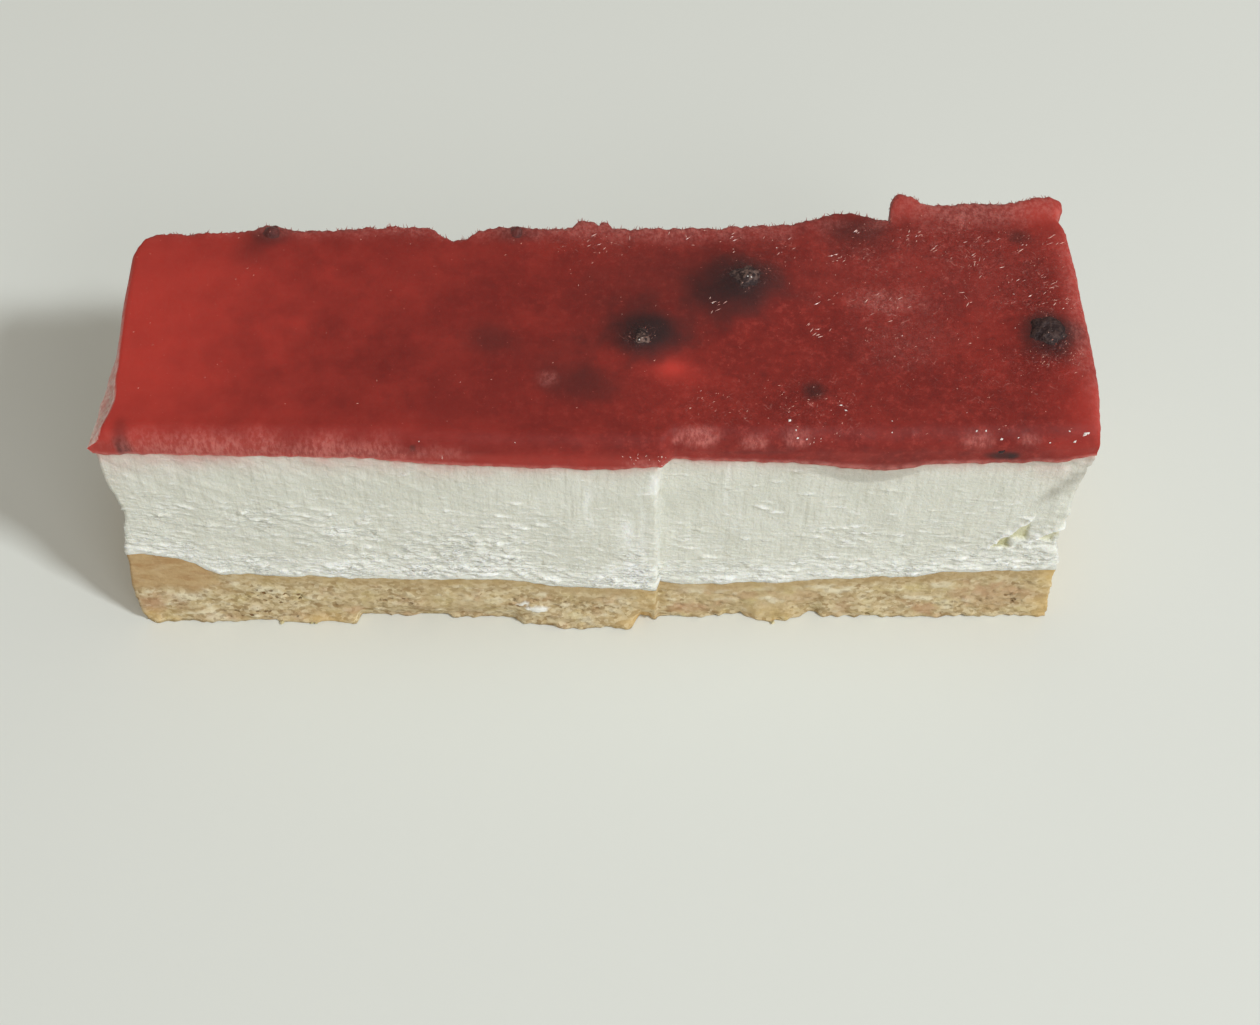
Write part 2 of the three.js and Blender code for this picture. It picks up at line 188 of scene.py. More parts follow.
# Crumbled and painted-highlight patches of the cream's front: along, height, half width, half height,
# strength
CRUMBLED = [
    (-28, 17.6, 2.6, 3.2, 1.0), (-18.5, 20.7, 3.4, 3.6, 1.0), (-14, 20, 3, 5, 0.9),
    (5.7, 17.5, 2.4, 3.4, 0.9), (-39, 25.5, 4.5, 4, 0.5),
]
PALE_PATCHES = [
    (4.8, 25, 2.4, 8, 0.7), (7.6, 38, 0.9, 3.5, 0.7), (4.6, 16.5, 3.6, 3.4, 0.6),
    (-16, 19.5, 5.5, 3.5, 0.2), (-35, 17.8, 5, 2.2, 0.2), (-1.6, 32.5, 0.9, 6, 0.5),
    (18.3, 36, 0.5, 7, 0.4), (64.2, 23, 1.4, 1.1, 0.7), (64, 20, 5, 1.4, 0.3),
]
FLAKES_TRIED = 13000
FRONT_SEED, BACK_SEED, LEFT_SEED, RIGHT_SEED = 71, 72, 73, 74

# Where the cream's front has slanting strokes, where its right end is frayed, and how high
SLANT_FADES, FRAY_FADES, FRAY_HEIGHT = (-30, 5), (63, 69), (29, 6)
# Where the pink stain is stronger: towards the two ends, and at the left
STAIN_ENDS, STAIN_LEFT = (54, 70), (-30, 0)
# A grey drag mark: place along and height, slant, and where it begins
SMEAR_AT, SMEAR_SLANT, SMEAR_FROM = (66.1, 35.7), 0.9, 62
# Bands of painted shade under the jelly's edge: along, half width, power, strength; and where they reach
# lowest
BANDS, BAND_DIP = [(37, 10, 4, 1.0), (62, 7, 2, 0.8)], (36.5, 7)

# Spots on the jelly seen from above, dark, of painted glow, frosted, or wrinkled with painted glints: along,
# from the front, half width along and across, strength
HALOS = [
    (7.4, 18.0, 5.4, 4.5, 1.0), (20.3, 27.2, 6.4, 5.2, 0.92), (64.6, 16.9, 4.2, 4.0, 0.93),
    (-48, 36.6, 3.6, 2.6, 0.5), (-50.5, 33.2, 3.4, 3.0, 0.25), (-12, 37.2, 3.6, 2.0, 0.45),
    (38.5, 38.0, 5.8, 3.6, 0.5), (-15.6, 17.6, 4.0, 3.6, 0.36), (-1.8, 9.2, 5.0, 4.2, 0.38),
    (-7, 11, 3, 3, 0.2), (-65.8, 1.4, 1.2, 2.4, 0.3), (30.3, 7.8, 1.8, 1.7, 0.65),
    (62.4, 35.9, 2.0, 1.8, 0.45), (17, 24.5, 3.5, 2.6, 0.35), (10, 29, 13, 9, 0.3), (0, 20, 7, 7, 0.15),
    (46, 17, 5, 5, 0.1), (-6.5, 14.7, 8, 3.6, 0.17), (15.5, 21.5, 5, 3.5, 0.18), (32, 28.5, 11, 3.6, 0.14),
    (2.5, 8.3, 8, 3, 0.1), (43, 3.5, 8, 5, 0.1),
]
GLOWS = [
    (-69, 26, 24, 16, 0.69), (-70, 8, 22, 16, 0.61), (10.4, 11.9, 2.6, 1.7, 0.9), (12, 10, 5, 4, 0.3),
    (70, 28, 3, 16, 0.5), (69, 4, 5, 6, 0.5), (46.3, 43, 2.6, 3, 0.5), (66, 41, 4, 3, 0.6),
    (-34, 1.5, 20, 4, 0.2), (-29, 30, 10, 9, 0.14),
]
FROSTS = [
    (42.2, 24, 5, 2.2, 0.6), (44, 16.7, 7, 5, 0.15), (-7, 10.4, 1.4, 1.3, 0.45), (50, 30, 20, 9, 0.1),
    (-30, 39, 40, 2.8, 0.6), (14, 39, 20, 3.4, 0.7), (56, 42.5, 14, 4.0, 0.8), (69.6, 22, 2.2, 20, 0.5),
]
WRINKLES = [
    (5.9, 17.4, 2.2, 2.0, 0.9), (22, 28.9, 3.0, 2.4, 0.9), (64.5, 13, 5.5, 3.0, 0.9),
    (63, 23.5, 5.0, 2.6, 0.9), (64.5, 27, 5.0, 5.0, 0.8), (58, 33, 9, 6, 0.75), (50, 36, 9, 5, 0.7),
    (40, 34, 5, 6, 0.6), (27, 34, 5, 5, 0.5), (42, 24, 7, 4, 0.7), (43, 16, 9, 6, 0.5), (30, 6, 7, 4, 0.75),
    (16, 5, 9, 4, 0.45), (57, 8, 10, 7, 0.4), (0, 36, 8, 3, 0.6), (-24, 37, 9, 2, 0.3),
]
# Spots on the front of the jelly: along, height, half width, half height, strength
FRONT_HALOS = [
    (56.2, 43.6, 2.3, 0.9, 0.75), (57.8, 43.4, 0.8, 0.7, 0.7), (-65.7, 45.2, 1.2, 1.5, 0.55),
    (-65.8, 47.2, 1.2, 1.8, 0.5), (22, 44.4, 7, 0.6, 0.25), (-25.6, 46.9, 0.6, 0.5, 0.6),
]
FRONT_FROSTS = [
    (-55, 46.4, 12, 2.4, 0.95), (-37, 46.0, 10, 2.2, 0.9), (-25, 45.6, 7, 1.4, 0.55),
    (14.2, 46.9, 3.0, 1.3, 1.0), (11.0, 46.6, 0.8, 0.6, 0.8), (6.8, 44.1, 3.0, 0.8, 0.8),
    (21.7, 46.2, 2.0, 0.9, 1.0), (27.6, 46.4, 2.0, 1.1, 1.0), (52.8, 46.2, 2.2, 1.0, 1.0),
    (59.6, 46.5, 1.6, 0.7, 0.7),
]
FRONT_GLOWS = [
    (-52, 45.6, 16, 2.4, 0.3), (-12, 44.2, 26, 1.9, 0.45), (24, 43.6, 16, 1.4, 0.12), (67, 45, 5, 3, 0.35),
]

# Swells of the jelly past the right end: from the front, half width, how far; and where they begin
BULGES, BULGE_FROM = [(42.8, 1.6, 0.8), (39.4, 1.2, -0.8), (7, 7, 0.5)], 64
# Where the mottling of the jelly grows coarse, how far back its frost lies, and where its fringe is
COARSE_FADES, FROST_BACK, FRINGE_SPAN = (-25, 25), 24, (-64, 68)

# Painted glints on the jelly, near-white slivers: along, from the front, length
GLINTS = [
    (52.4, 0.9, 0.5), (53.7, 0.9, 0.5), (55.9, 0.0, 0.7), (58.2, 0.1, 0.4), (62.6, -0.4, 0.5),
    (65.2, 0.6, 0.5), (67.4, 0.2, 1.2), (67.8, 0.3, 0.9), (66.0, -0.4, 0.9), (26.6, 2.8, 0.8),
    (27.4, 1.3, 0.5), (27.6, 0.4, 0.6), (28.9, 0.3, 0.5), (-24.7, -0.3, 0.3), (-11.5, -0.4, 0.3),
    (40.8, 2.6, 0.35), (40.7, 0.9, 0.35), (33.9, 5.4, 0.7), (34.5, 4.5, 0.6), (5.9, 16.2, 0.5),
    (6.3, 16.5, 0.3), (21.8, 27.6, 0.45), (22.3, 27.5, 0.4), (16.6, 23.5, 0.4), (26.4, 34.3, 0.4),
]
# Clusters of short pale slivers on the jelly, as painted sparkle: along, from the front, spread, number
SPARKLES = [
    (31.2, 18.5, 0.9, 9), (35.2, 32.4, 0.9, 8), (46.8, 36.9, 1.3, 9), (49.4, 34.2, 0.5, 4),
    (55.7, 31.5, 0.7, 7), (66.8, 35.3, 0.9, 7), (65.5, 25.2, 1.5, 18), (53.1, 24.1, 0.7, 5),
    (33.3, 24.4, 0.9, 6), (38.6, 38.3, 0.6, 4), (62.5, 12.6, 1.6, 12), (67.5, 13.6, 0.9, 7),
    (42.0, 24.0, 1.6, 8), (28.0, 33.0, 1.2, 7), (1.0, 36.5, 1.6, 9), (12.8, 37.4, 1.6, 8),
    (24.5, 8.2, 1.4, 8), (33.0, 4.6, 1.0, 7), (17.0, 23.2, 0.8, 7), (14.5, 7.4, 2.0, 14),
    (26.0, 6.4, 1.6, 12), (58.0, 33.5, 2.2, 10), (60.0, 28.0, 1.6, 8), (20.0, 35.0, 1.2, 6),
]
# The same on the front of the jelly: along, height, spread along, number
FRONT_SPARKLES = [(5.6, 45.0, 0.9, 9), (8.8, 44.8, 0.4, 9), (-21.9, 44.6, 0.3, 3), (29.8, 46.4, 0.7, 6)]
FROST_TRIED = 16000
TUFTS = 420
LOOSE_CRUMBS = (-49.9, -45.3, -44.6, 26.8)
FROST_SEED, FRINGE_SEED, CRUMB_SEED = 81, 83, 84
# Heights and depths from which rays are sent at the jelly
ABOVE, BEHIND, BEFORE = 70.0, 60.0, 2 * FRONT
# An eight-sided grain: four points round its middle, one above and one below
SLIVER_POINTS = 6
SLIVER_FACES = [(0, 1, 4), (1, 2, 4), (2, 3, 4), (3, 0, 4), (1, 0, 5), (2, 1, 5), (3, 2, 5), (0, 3, 5)]

# Setting, in metres
FLOOR_SIZE, FLOOR_HEIGHT, FLOOR_TONE = 6, -0.0001, (228, 231, 226)
# Lights: name, place, size, power, tint
LIGHTS = [
    ("key", (0.984, -0.694, 1.338), 0.22, 18.0, (0.96, 1.0, 1.02)),
    ("side_fill", (0.68, -1.28, 1.12), 0.6, 3.6, (1.0, 1.0, 1.0)),
]
LIGHT_AIM = (0, 0, 0.02)
SKY_TINT, SKY_STRENGTH = (1.06, 1.0, 0.9, 1.0), 0.37
CAMERA_PLACE = (0.0018, -0.18995, 0.2800)
CAMERA_DOWN, CAMERA_YAW, CAMERA_ROLL = (math.radians(angle) for angle in (55.73, 0.874, -0.158))
LENS, SENSOR, CLIP_START = 59.70, 36.0, 0.01

# Numbers that scramble a lattice cell and a seed
CELL_FACTORS = (73856093, 19349663, 83492791)
SEED_FACTOR = 2654435761
SCRAMBLING = ((15, 0x2C1B3C6D), (12, 0x297A2D39))
WORD = 0xFFFFFFFF
GRADIENTS = np.array([
    [1, 1, 0], [-1, 1, 0], [1, -1, 0], [-1, -1, 0], [1, 0, 1], [-1, 0, 1],
    [1, 0, -1], [-1, 0, -1], [0, 1, 1], [0, -1, 1], [0, 1, -1], [0, -1, -1],
], float)


# Numbers

def smooth(value, low, high):
    share = np.clip((value - low) / (high - low), 0, 1)
    return share * share * (3 - 2 * share)


def fall(value, low, high):
    return 1 - smooth(value, low, high)


def mix(low, high, share):
    return low + (high - low) * share


def through(points):
    """A function that runs smoothly through the points and stays level beyond them."""
    at, level = (np.array(column, float) for column in zip(*points))

    def run(value):
        value = np.clip(value, at[0], at[-1])
        after = np.clip(np.searchsorted(at, value, side="right"), 1, len(at) - 1)
        share = smooth(value, at[after - 1], at[after])
        return mix(level[after - 1], level[after], share)

    return run


def swelling(value, at, width, power=2):
    """A rise round a place, 1 at its middle; a higher power has a flatter top and steeper sides."""
    return np.exp(-((np.abs(value - at) / width) ** power))


def scramble(cells, seed):
    """A repeatable random whole number for each lattice cell."""
    x, y, z = (cells * CELL_FACTORS).T
    mixed = (x ^ y ^ z ^ (seed * SEED_FACTOR)) & WORD
    for shift, factor in SCRAMBLING:
        mixed ^= mixed >> shift
        mixed = (mixed * factor) & WORD
    return mixed ^ (mixed >> 15)


def lumps(points, size, seed):
    """Smooth noise between about -1 and 1, with lumps of the given size in millimetres."""
    place = points / np.asarray(size, float)
    low = np.floor(place).astype(np.int64)
    part = place - low
    fade = part ** 3 * (part * (part * 6 - 15) + 10)
    total = np.zeros(len(points))
    for corner in np.ndindex(2, 2, 2):
        corner = np.array(corner)
        slope = GRADIENTS[scramble(low + corner, seed) % 12]
        weight = np.prod(np.where(corner, fade, 1 - fade), axis=1)
        total += weight * np.einsum("ij,ij->i", slope, part - corner)
    return total


def lumpy(points, *layers):
    """Lumps of several sizes added up, each given as its height, size and seed."""
    return sum(height * lumps(points, size, seed) for height, size, seed in layers)


def ridges(points, size, seed, sharp):
    """Ridges between lumps, from 0 to 1."""
    return np.clip(1 - sharp * np.abs(lumps(points, size, seed)), 0, 1)


def grains(points, size, seed):
    """For scattered grains: distance to the nearest and the next, and the nearest's own number."""
    place = points / np.asarray(size, float)
    home = np.floor(place).astype(np.int64)
    first = np.full(len(points), 9.0)
    second = np.full(len(points), 9.0)
    own = np.zeros(len(points))
    for step in np.ndindex(3, 3, 3):
        cell = home + np.array(step) - 1
        bits = scramble(cell, seed)
        spot = cell + np.stack([bits & 1023, (bits >> 10) & 1023, (bits >> 20) & 1023], 1) / 1023
        away = np.linalg.norm(place - spot, axis=1)
        nearer = away < first
        second = np.where(nearer, first, np.minimum(second, away))
        own = np.where(nearer, scramble(cell, seed + 1) / 2 ** 32, own)
        first = np.where(nearer, away, first)
    return first, second, own


# The bar's own surfaces

back_cut, left_end, right_end = through(BACK_CUT), through(LEFT_END), through(RIGHT_END)
left_plan, right_plan = through(LEFT_PLAN), through(RIGHT_PLAN)
base_top, cream_top, jelly_top = through(BASE_TOP), through(CREAM_TOP), through(JELLY_TOP)


def front_at(x, step_at=STEP_AT, step_width=STEP_WIDTH):
    left = mix(*LEFT_STROKE, np.clip((x + HALF) / (STEP_AT + HALF), 0, 1))
    right = mix(*RIGHT_STROKE, np.clip((x - STEP_AT) / (HALF - STEP_AT), 0, 1))
    return FRONT + mix(left, right, smooth(x, step_at - step_width / 2, step_at + step_width / 2))


def back_at(x):
    return -FRONT + back_cut(x)


def swell_at(x, y):
    return SWELL_HEIGHT * np.sin((y - FRONT) / SWELL_ACROSS + x / (2 * SWELL_ACROSS))


def uneven(x, y, *layers):
    """Lumps of several sizes over the bar seen from above."""
    return lumpy(np.stack([x, y, np.zeros(len(x))], 1), *layers)


def base_top_at(x, y):
    wander = uneven(x, y, (0.7, 5, 58), (0.35, 1.8, 59))
    return BASE_HEIGHT + base_top(x) + swell_at(x, y) + wander


def cream_top_at(x, y):
    wander = uneven(x, y, (0.4, 4, 60), (0.3, 1.4, 67))
    return CREAM_LEVEL + cream_top(x) - swell_at(x, y) + wander


def jelly_top_at(x):
    return JELLY_LEVEL + jelly_top(x)


def overhang_at(x):
    def total(features, power):
        return sum(reach * swelling(x, at, width, power) for at, width, reach in features)

    short = np.clip((FLAP_FROM + FLAP_ROUND - x) / FLAP_ROUND, 0, 1)
    flap = np.sqrt(1 - short ** 2) * (FLAP_REACH + total(FLAP_LOBES, 4))
    return flap + total(BACK_LUMPS, 2) + total(ROUND_LUMPS, 4)


def foot_out(x, z):
    """How far the foot of the front stands out, or falls back where it is less than 0."""
    total = 0
    for start, end, out in FOOT:
        inside = smooth(x, start - FOOT_BLEND, start + FOOT_BLEND)
        total = total + out * (inside * fall(x, end - FOOT_BLEND, end + FOOT_BLEND))
    return total * fall(z, 0, FOOT_HEIGHT)


def lean_ends(x, y, z):
    """Moves points with the two ends, which aren't plumb, and rounds the corner the tin made."""
    deep = y - FRONT
    new_x = x + (left_end(z) + left_plan(deep)) * fall(x, -HALF, -HALF + END_REACH)
    new_x = new_x + (right_end(z) + right_plan(deep)) * smooth(x, HALF - END_REACH, HALF)
    by_end = np.clip((-HALF + TIN_CORNER - x) / TIN_CORNER, 0, 1)
    by_back = np.clip((y - back_at(x) + TIN_CORNER) / TIN_CORNER, 0, 1)
    new_x = new_x - TIN_CORNER * by_end * (np.sqrt(1 - by_back ** 2 / 2) - 1)
    new_y = y + TIN_CORNER * by_back * (np.sqrt(1 - by_end ** 2 / 2) - 1)
    return np.stack([new_x, new_y, z], 1)


# Meshes

def stations(places, step):
    """Even steps between places, with each place itself a step."""
    made = [np.array([places[0]], float)]
    for start, end in zip(places, places[1:]):
        count = max(1, round((end - start) / step))
        made.append(np.linspace(start, end, count + 1)[1:])
    return np.concatenate(made)


def block(along, across, up):
    """The corners on the outside of a block of cells, as stations, and the quads between them."""
    sheets = []
    for axis in range(3):
        for side in (0, -1):
            cut = [slice(None)] * 3
            cut[axis] = side
            sheets.append((tuple(cut), (side == 0) != (axis == 1)))
    outside = np.zeros((len(along), len(across), len(up)), bool)
    for cut, _ in sheets:
        outside[cut] = True
    number = np.full(outside.shape, -1)
    number[outside] = np.arange(outside.sum())
    quads = []
    for cut, turned_over in sheets:
        sheet = number[cut]
        ring = [sheet[:-1, :-1], sheet[1:, :-1], sheet[1:, 1:], sheet[:-1, 1:]]
        if turned_over:
            ring.reverse()
        quads.append(np.stack([corner.ravel() for corner in ring], 1))
    x, y, z = np.nonzero(outside)
    return along[x], across[y], up[z], np.concatenate(quads)


def cut_layer(steps, height):
    """The cells of a layer with the step in its front: stations along, shares across and up, quads."""
    along, across, up = steps
    along = stations([-HALF, STEP_AT - STEP_WIDTH / 2, STEP_AT + STEP_WIDTH / 2, HALF], along)
    return block(along, stations([0, 1], across / DEPTH), stations([0, 1], up / height))


def new_mesh(name, points, faces):
    """A smooth-shaded mesh from points in millimetres and equal-sided faces."""
    mesh = bpy.data.meshes.new(name)
    sides = faces.shape[1]
    mesh.vertices.add(len(points))
    mesh.vertices.foreach_set("co", (points * MM).astype(np.float32).ravel())
    mesh.loops.add(faces.size)
    mesh.loops.foreach_set("vertex_index", faces.astype(np.int32).ravel())
    mesh.polygons.add(len(faces))
    mesh.polygons.foreach_set("loop_start", np.arange(0, faces.size, sides, dtype=np.int32))
    mesh.update(calc_edges=True)
    mesh.validate()
    mesh.shade_smooth()
    return mesh


def read_vectors(items, name):
    flat = np.empty(len(items) * 3, np.float32)
    items.foreach_get(name, flat)
    return flat.reshape(-1, 3).astype(float)


def mesh_points(mesh):
    return read_vectors(mesh.vertices, "co") / MM


def mesh_normals(mesh):
    return read_vectors(mesh.vertex_normals, "vector")


def place_points(mesh, points):
    mesh.vertices.foreach_set("co", (points * MM).astype(np.float32).ravel())
    mesh.update()


def note(mesh, **kept):
    """Keeps numbers for each point of a mesh under their names, for its finish to read."""
    for name, values in kept.items():
        layer = mesh.attributes.new(name, "FLOAT", "POINT")
        layer.data.foreach_set("value", np.asarray(values, np.float32))


def new_piece(name, mesh, finish, nodes):
    piece = bpy.data.objects.new(name, mesh)
    bpy.context.scene.collection.objects.link(piece)
    mesh.materials.append(finish)
    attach(piece, BODY)
    if nodes:
        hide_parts(*nodes)
    return piece


def thinned_mesh(mesh, chosen, keep):
    """Takes points out of the chosen faces, such as those that other layers cover."""
    carrier = bpy.data.objects.new("thinning", mesh)
    bpy.context.scene.collection.objects.link(carrier)
    group = carrier.vertex_groups.new(name="chosen")
    group.add(np.flatnonzero(chosen).tolist(), 1.0, "REPLACE")
    thinning = carrier.modifiers.new("thin", "DECIMATE")
    thinning.vertex_group = group.name
    thinning.ratio = 1 - (1 - keep) * chosen.mean()
    bpy.context.view_layer.update()
    shaped = carrier.evaluated_get(bpy.context.evaluated_depsgraph_get())
    thinned = bpy.data.meshes.new_from_object(shaped)
    thinned.name = mesh.name
    bpy.data.objects.remove(carrier)
    bpy.data.meshes.remove(mesh)
    thinned.shade_smooth()
    return thinned


# Finishes

def light_of(tone):
    """The light that a colour stands for, given as on a screen, from 0 to 255; sockets stay as they are."""
    if not isinstance(tone, tuple):
        return tone
    shares = [value / 255 for value in tone]
    light = [share / 12.92 if share <= 0.04045 else ((share + 0.055) / 1.055) ** 2.4 for share in shares]
    return light + [1.0]


class Finish:
    """A material being made: its body colour, and short calls for the few kinds of node it needs."""

    def __init__(self, name, **values):
        self.material = bpy.data.materials.new(name)
        self.material.use_nodes = True
        self.tree = self.material.node_tree
        self.shader = self.tree.nodes["Principled BSDF"]
        self.place = self.node("ShaderNodeTexCoord").outputs["Object"]
        self.body = None
        self.set(**values)

    def node(self, kind, feeds=None, **settings):
        """A new node with its settings, and what feeds its sockets, by their names or numbers."""
        made = self.tree.nodes.new(kind)
        for name, value in settings.items():
            setattr(made, name, value)
        for socket, value in (feeds or {}).items():
            self.feed(made.inputs[socket], value)
        return made

    def feed(self, socket, value):
        if isinstance(value, bpy.types.NodeSocket):
            self.tree.links.new(value, socket)
        else:
            socket.default_value = value

    def set(self, **values):
        """Feeds sockets of the shader, with _ for the spaces in their names."""
        for name, value in values.items():
            self.feed(self.shader.inputs[name.replace("_", " ")], value)

    def done(self, relief=None):
        """Gives the shader its body colour and any relief, and hands the material over."""
        self.set(Base_Color=light_of(self.body))
        if relief is not None:
            self.set(Normal=relief)
        return self.material

    def noted(self, name, share=None):
        """What note() kept on the mesh, all of it or a share."""
        kept = self.node("ShaderNodeAttribute", attribute_name=name).outputs["Fac"]
        return self.times(kept, share) if share else kept

    def spread(self, size, turn=0.0):
        """Places divided by a size in millimetres, one number or one for each axis."""
        place = self.place
        if turn:
            feeds = {"Vector": place, "Angle": turn}
            place = self.node("ShaderNodeVectorRotate", feeds, rotation_type="Z_AXIS").outputs[0]
        feeds = {0: place, 1: [1 / (MM * side) for side in np.broadcast_to(size, 3)]}
        return self.node("ShaderNodeVectorMath", feeds, operation="MULTIPLY").outputs[0]

    def noise(self, size, detail=2.0, rough=0.5, twist=0.0, turn=0.0):
        feeds = {"Vector": self.spread(size, turn), "Scale": 1.0, "Detail": detail, "Roughness": rough}
        return self.node("ShaderNodeTexNoise", {**feeds, "Distortion": twist}).outputs["Fac"]

    def cells(self, size, output="Distance", stray=0.0):
        """Scattered cells, made ragged by letting places stray a share of the cell size."""
        place = self.spread(size)
        if stray:
            wander = self.node("ShaderNodeTexNoise", {"Vector": place, "Scale": 1.5}).outputs["Color"]
            feeds = {0: wander, 1: (stray, stray, stray), 2: place}
            place = self.node("ShaderNodeVectorMath", feeds, operation="MULTIPLY_ADD").outputs[0]
        return self.node("ShaderNodeTexVoronoi", {"Vector": place, "Scale": 1.0}).outputs[output]

    def math(self, operation, *values):
        return self.node("ShaderNodeMath", dict(enumerate(values)), operation=operation).outputs[0]

    def times(self, first, *others):
        for other in others:
            first = self.math("MULTIPLY", first, other)
        return first

    def range(self, *values):
        """A value between a low and a high one, and what it stands for at each, 0 and 1 if not given."""
        values = dict(enumerate(values))
        return self.node("ShaderNodeMapRange", values, interpolation_type="SMOOTHSTEP").outputs[0]

    def mix(self, share, low, high):
        feeds = {0: share, 6: light_of(low), 7: light_of(high)}
        return self.node("ShaderNodeMix", feeds, data_type="RGBA").outputs[2]

    def paint(self, share, tone):
        """Lays a colour over the body."""
        self.body = self.mix(share, self.body, tone)

    def bump(self, height, distance, strength, below=None):
        feeds = {"Strength": strength, "Distance": distance * MM, "Height": height}
        if below is not None:
            feeds["Normal"] = below
        return self.node("ShaderNodeBump", feeds).outputs["Normal"]


def crumb_finish():
    made = Finish("crumb", Roughness=0.85, Specular_IOR_Level=0.25)
    tone = made.noted("tone")
    made.body = made.mix(made.range(tone, 0.0, 0.5), (178, 151, 108), (208, 186, 144))
    made.paint(made.range(tone, 0.5, 1.0), (234, 222, 192))
    tint = made.noise(5, 3, 0.6)
    made.paint(made.range(tint, 0.52, 0.68, 0.0, 0.4), (206, 188, 128))
    made.paint(made.range(tint, 0.48, 0.32, 0.0, 0.4), (202, 160, 128))
    grainy = made.math("SUBTRACT", 1.0, made.noted("even"))
    for size, share in (((1.5, 1.5, 1.0), 0.26), ((0.7, 0.7, 0.6), 0.42)):
        grain = made.cells(size, "Color", 0.8)
        made.paint(made.times(grainy, made.range(grain, 0.52, 0.8, 0.0, share)), (240, 226, 192))
        made.paint(made.times(grainy, made.range(grain, 0.42, 0.2, 0.0, share)), (140, 110, 72))
    made.paint(made.noted("rosy", 0.55), (184, 134, 100))
    made.paint(made.noted("moist", 0.6), (186, 158, 112))
    crust = made.range(made.noise((4, 4, 1.2), 4, 0.65), 0.35, 0.65)
    made.paint(made.noted("cap", 0.85), made.mix(crust, (182, 142, 96), (200, 168, 122)))
    made.paint(made.noted("toast", 0.65), (222, 186, 120))
    # Painted shade: darker in the small holes between the crumbs.
    made.paint(made.noted("pit", 0.8), (130, 97, 58))
    # Painted shade: the holes of the pitted spots darker.
    hole = made.range(made.cells((1.2, 1.2, 1.1), "Distance", 0.5), 0.36, 0.16)
    hole = made.times(hole, made.noted("pitted"))
    made.paint(hole, (136, 102, 62))
    made.paint(made.noted("fleck"), (246, 245, 238))
    rough = made.bump(made.noise(0.5, 4, 0.65), 0.2, 0.6, made.bump(made.cells(0.9), 0.1, 0.4))
    return made.done(made.bump(made.math("SUBTRACT", 1.0, hole), 0.3, 0.8, rough))


def cream_finish():
    made = Finish("cream", Roughness=0.5, Specular_IOR_Level=0.35, Subsurface_Weight=0.25,
                  Subsurface_Scale=0.0006, Subsurface_Radius=(1.0, 0.85, 0.65))
    patch = made.range(made.noise(9, 3, 0.6), 0.35, 0.65)
    made.body = made.mix(patch, (224, 224, 212), (231, 231, 220))
    wavy = made.math("ABSOLUTE", made.math("SUBTRACT", made.noise((2.8, 2.8, 0.5), 2, 0.5, 0.5), 0.5))
    patchy = made.range(made.noise((3.0, 3.0, 1.2), 2), 0.42, 0.56)
    ripple = made.times(made.range(wavy, 0.09, 0.02), patchy, made.noted("flaky"))
    pull = made.noise((0.55, 2, 6), 3, 0.6)
    made.paint(made.range(pull, 0.52, 0.7, 0.0, 0.5), (241, 242, 233))
    made.paint(made.range(pull, 0.46, 0.3, 0.0, 0.5), (204, 203, 189))
    # Painted highlight, near white, on the crests and on the shader's ripple marks.
    made.paint(made.math("MAXIMUM", made.noted("crest"), made.times(ripple, 0.8)), (252, 253, 247))
    made.paint(made.noted("stain"), (206, 134, 128))
    # A drag mark near the right end, and bands of painted shade under the jelly's edge.
    made.paint(made.noted("smear"), (190, 187, 175))
    made.paint(made.noted("torn"), (214, 210, 166))
    streak = made.bump(made.noise((0.7, 2, 7), 3, 0.6), 0.14, 0.55)
    grit = made.bump(made.noise(0.6, 4, 0.65), 0.26, 0.8, streak)
    return made.done(made.bump(ripple, 0.16, 0.9, grit))


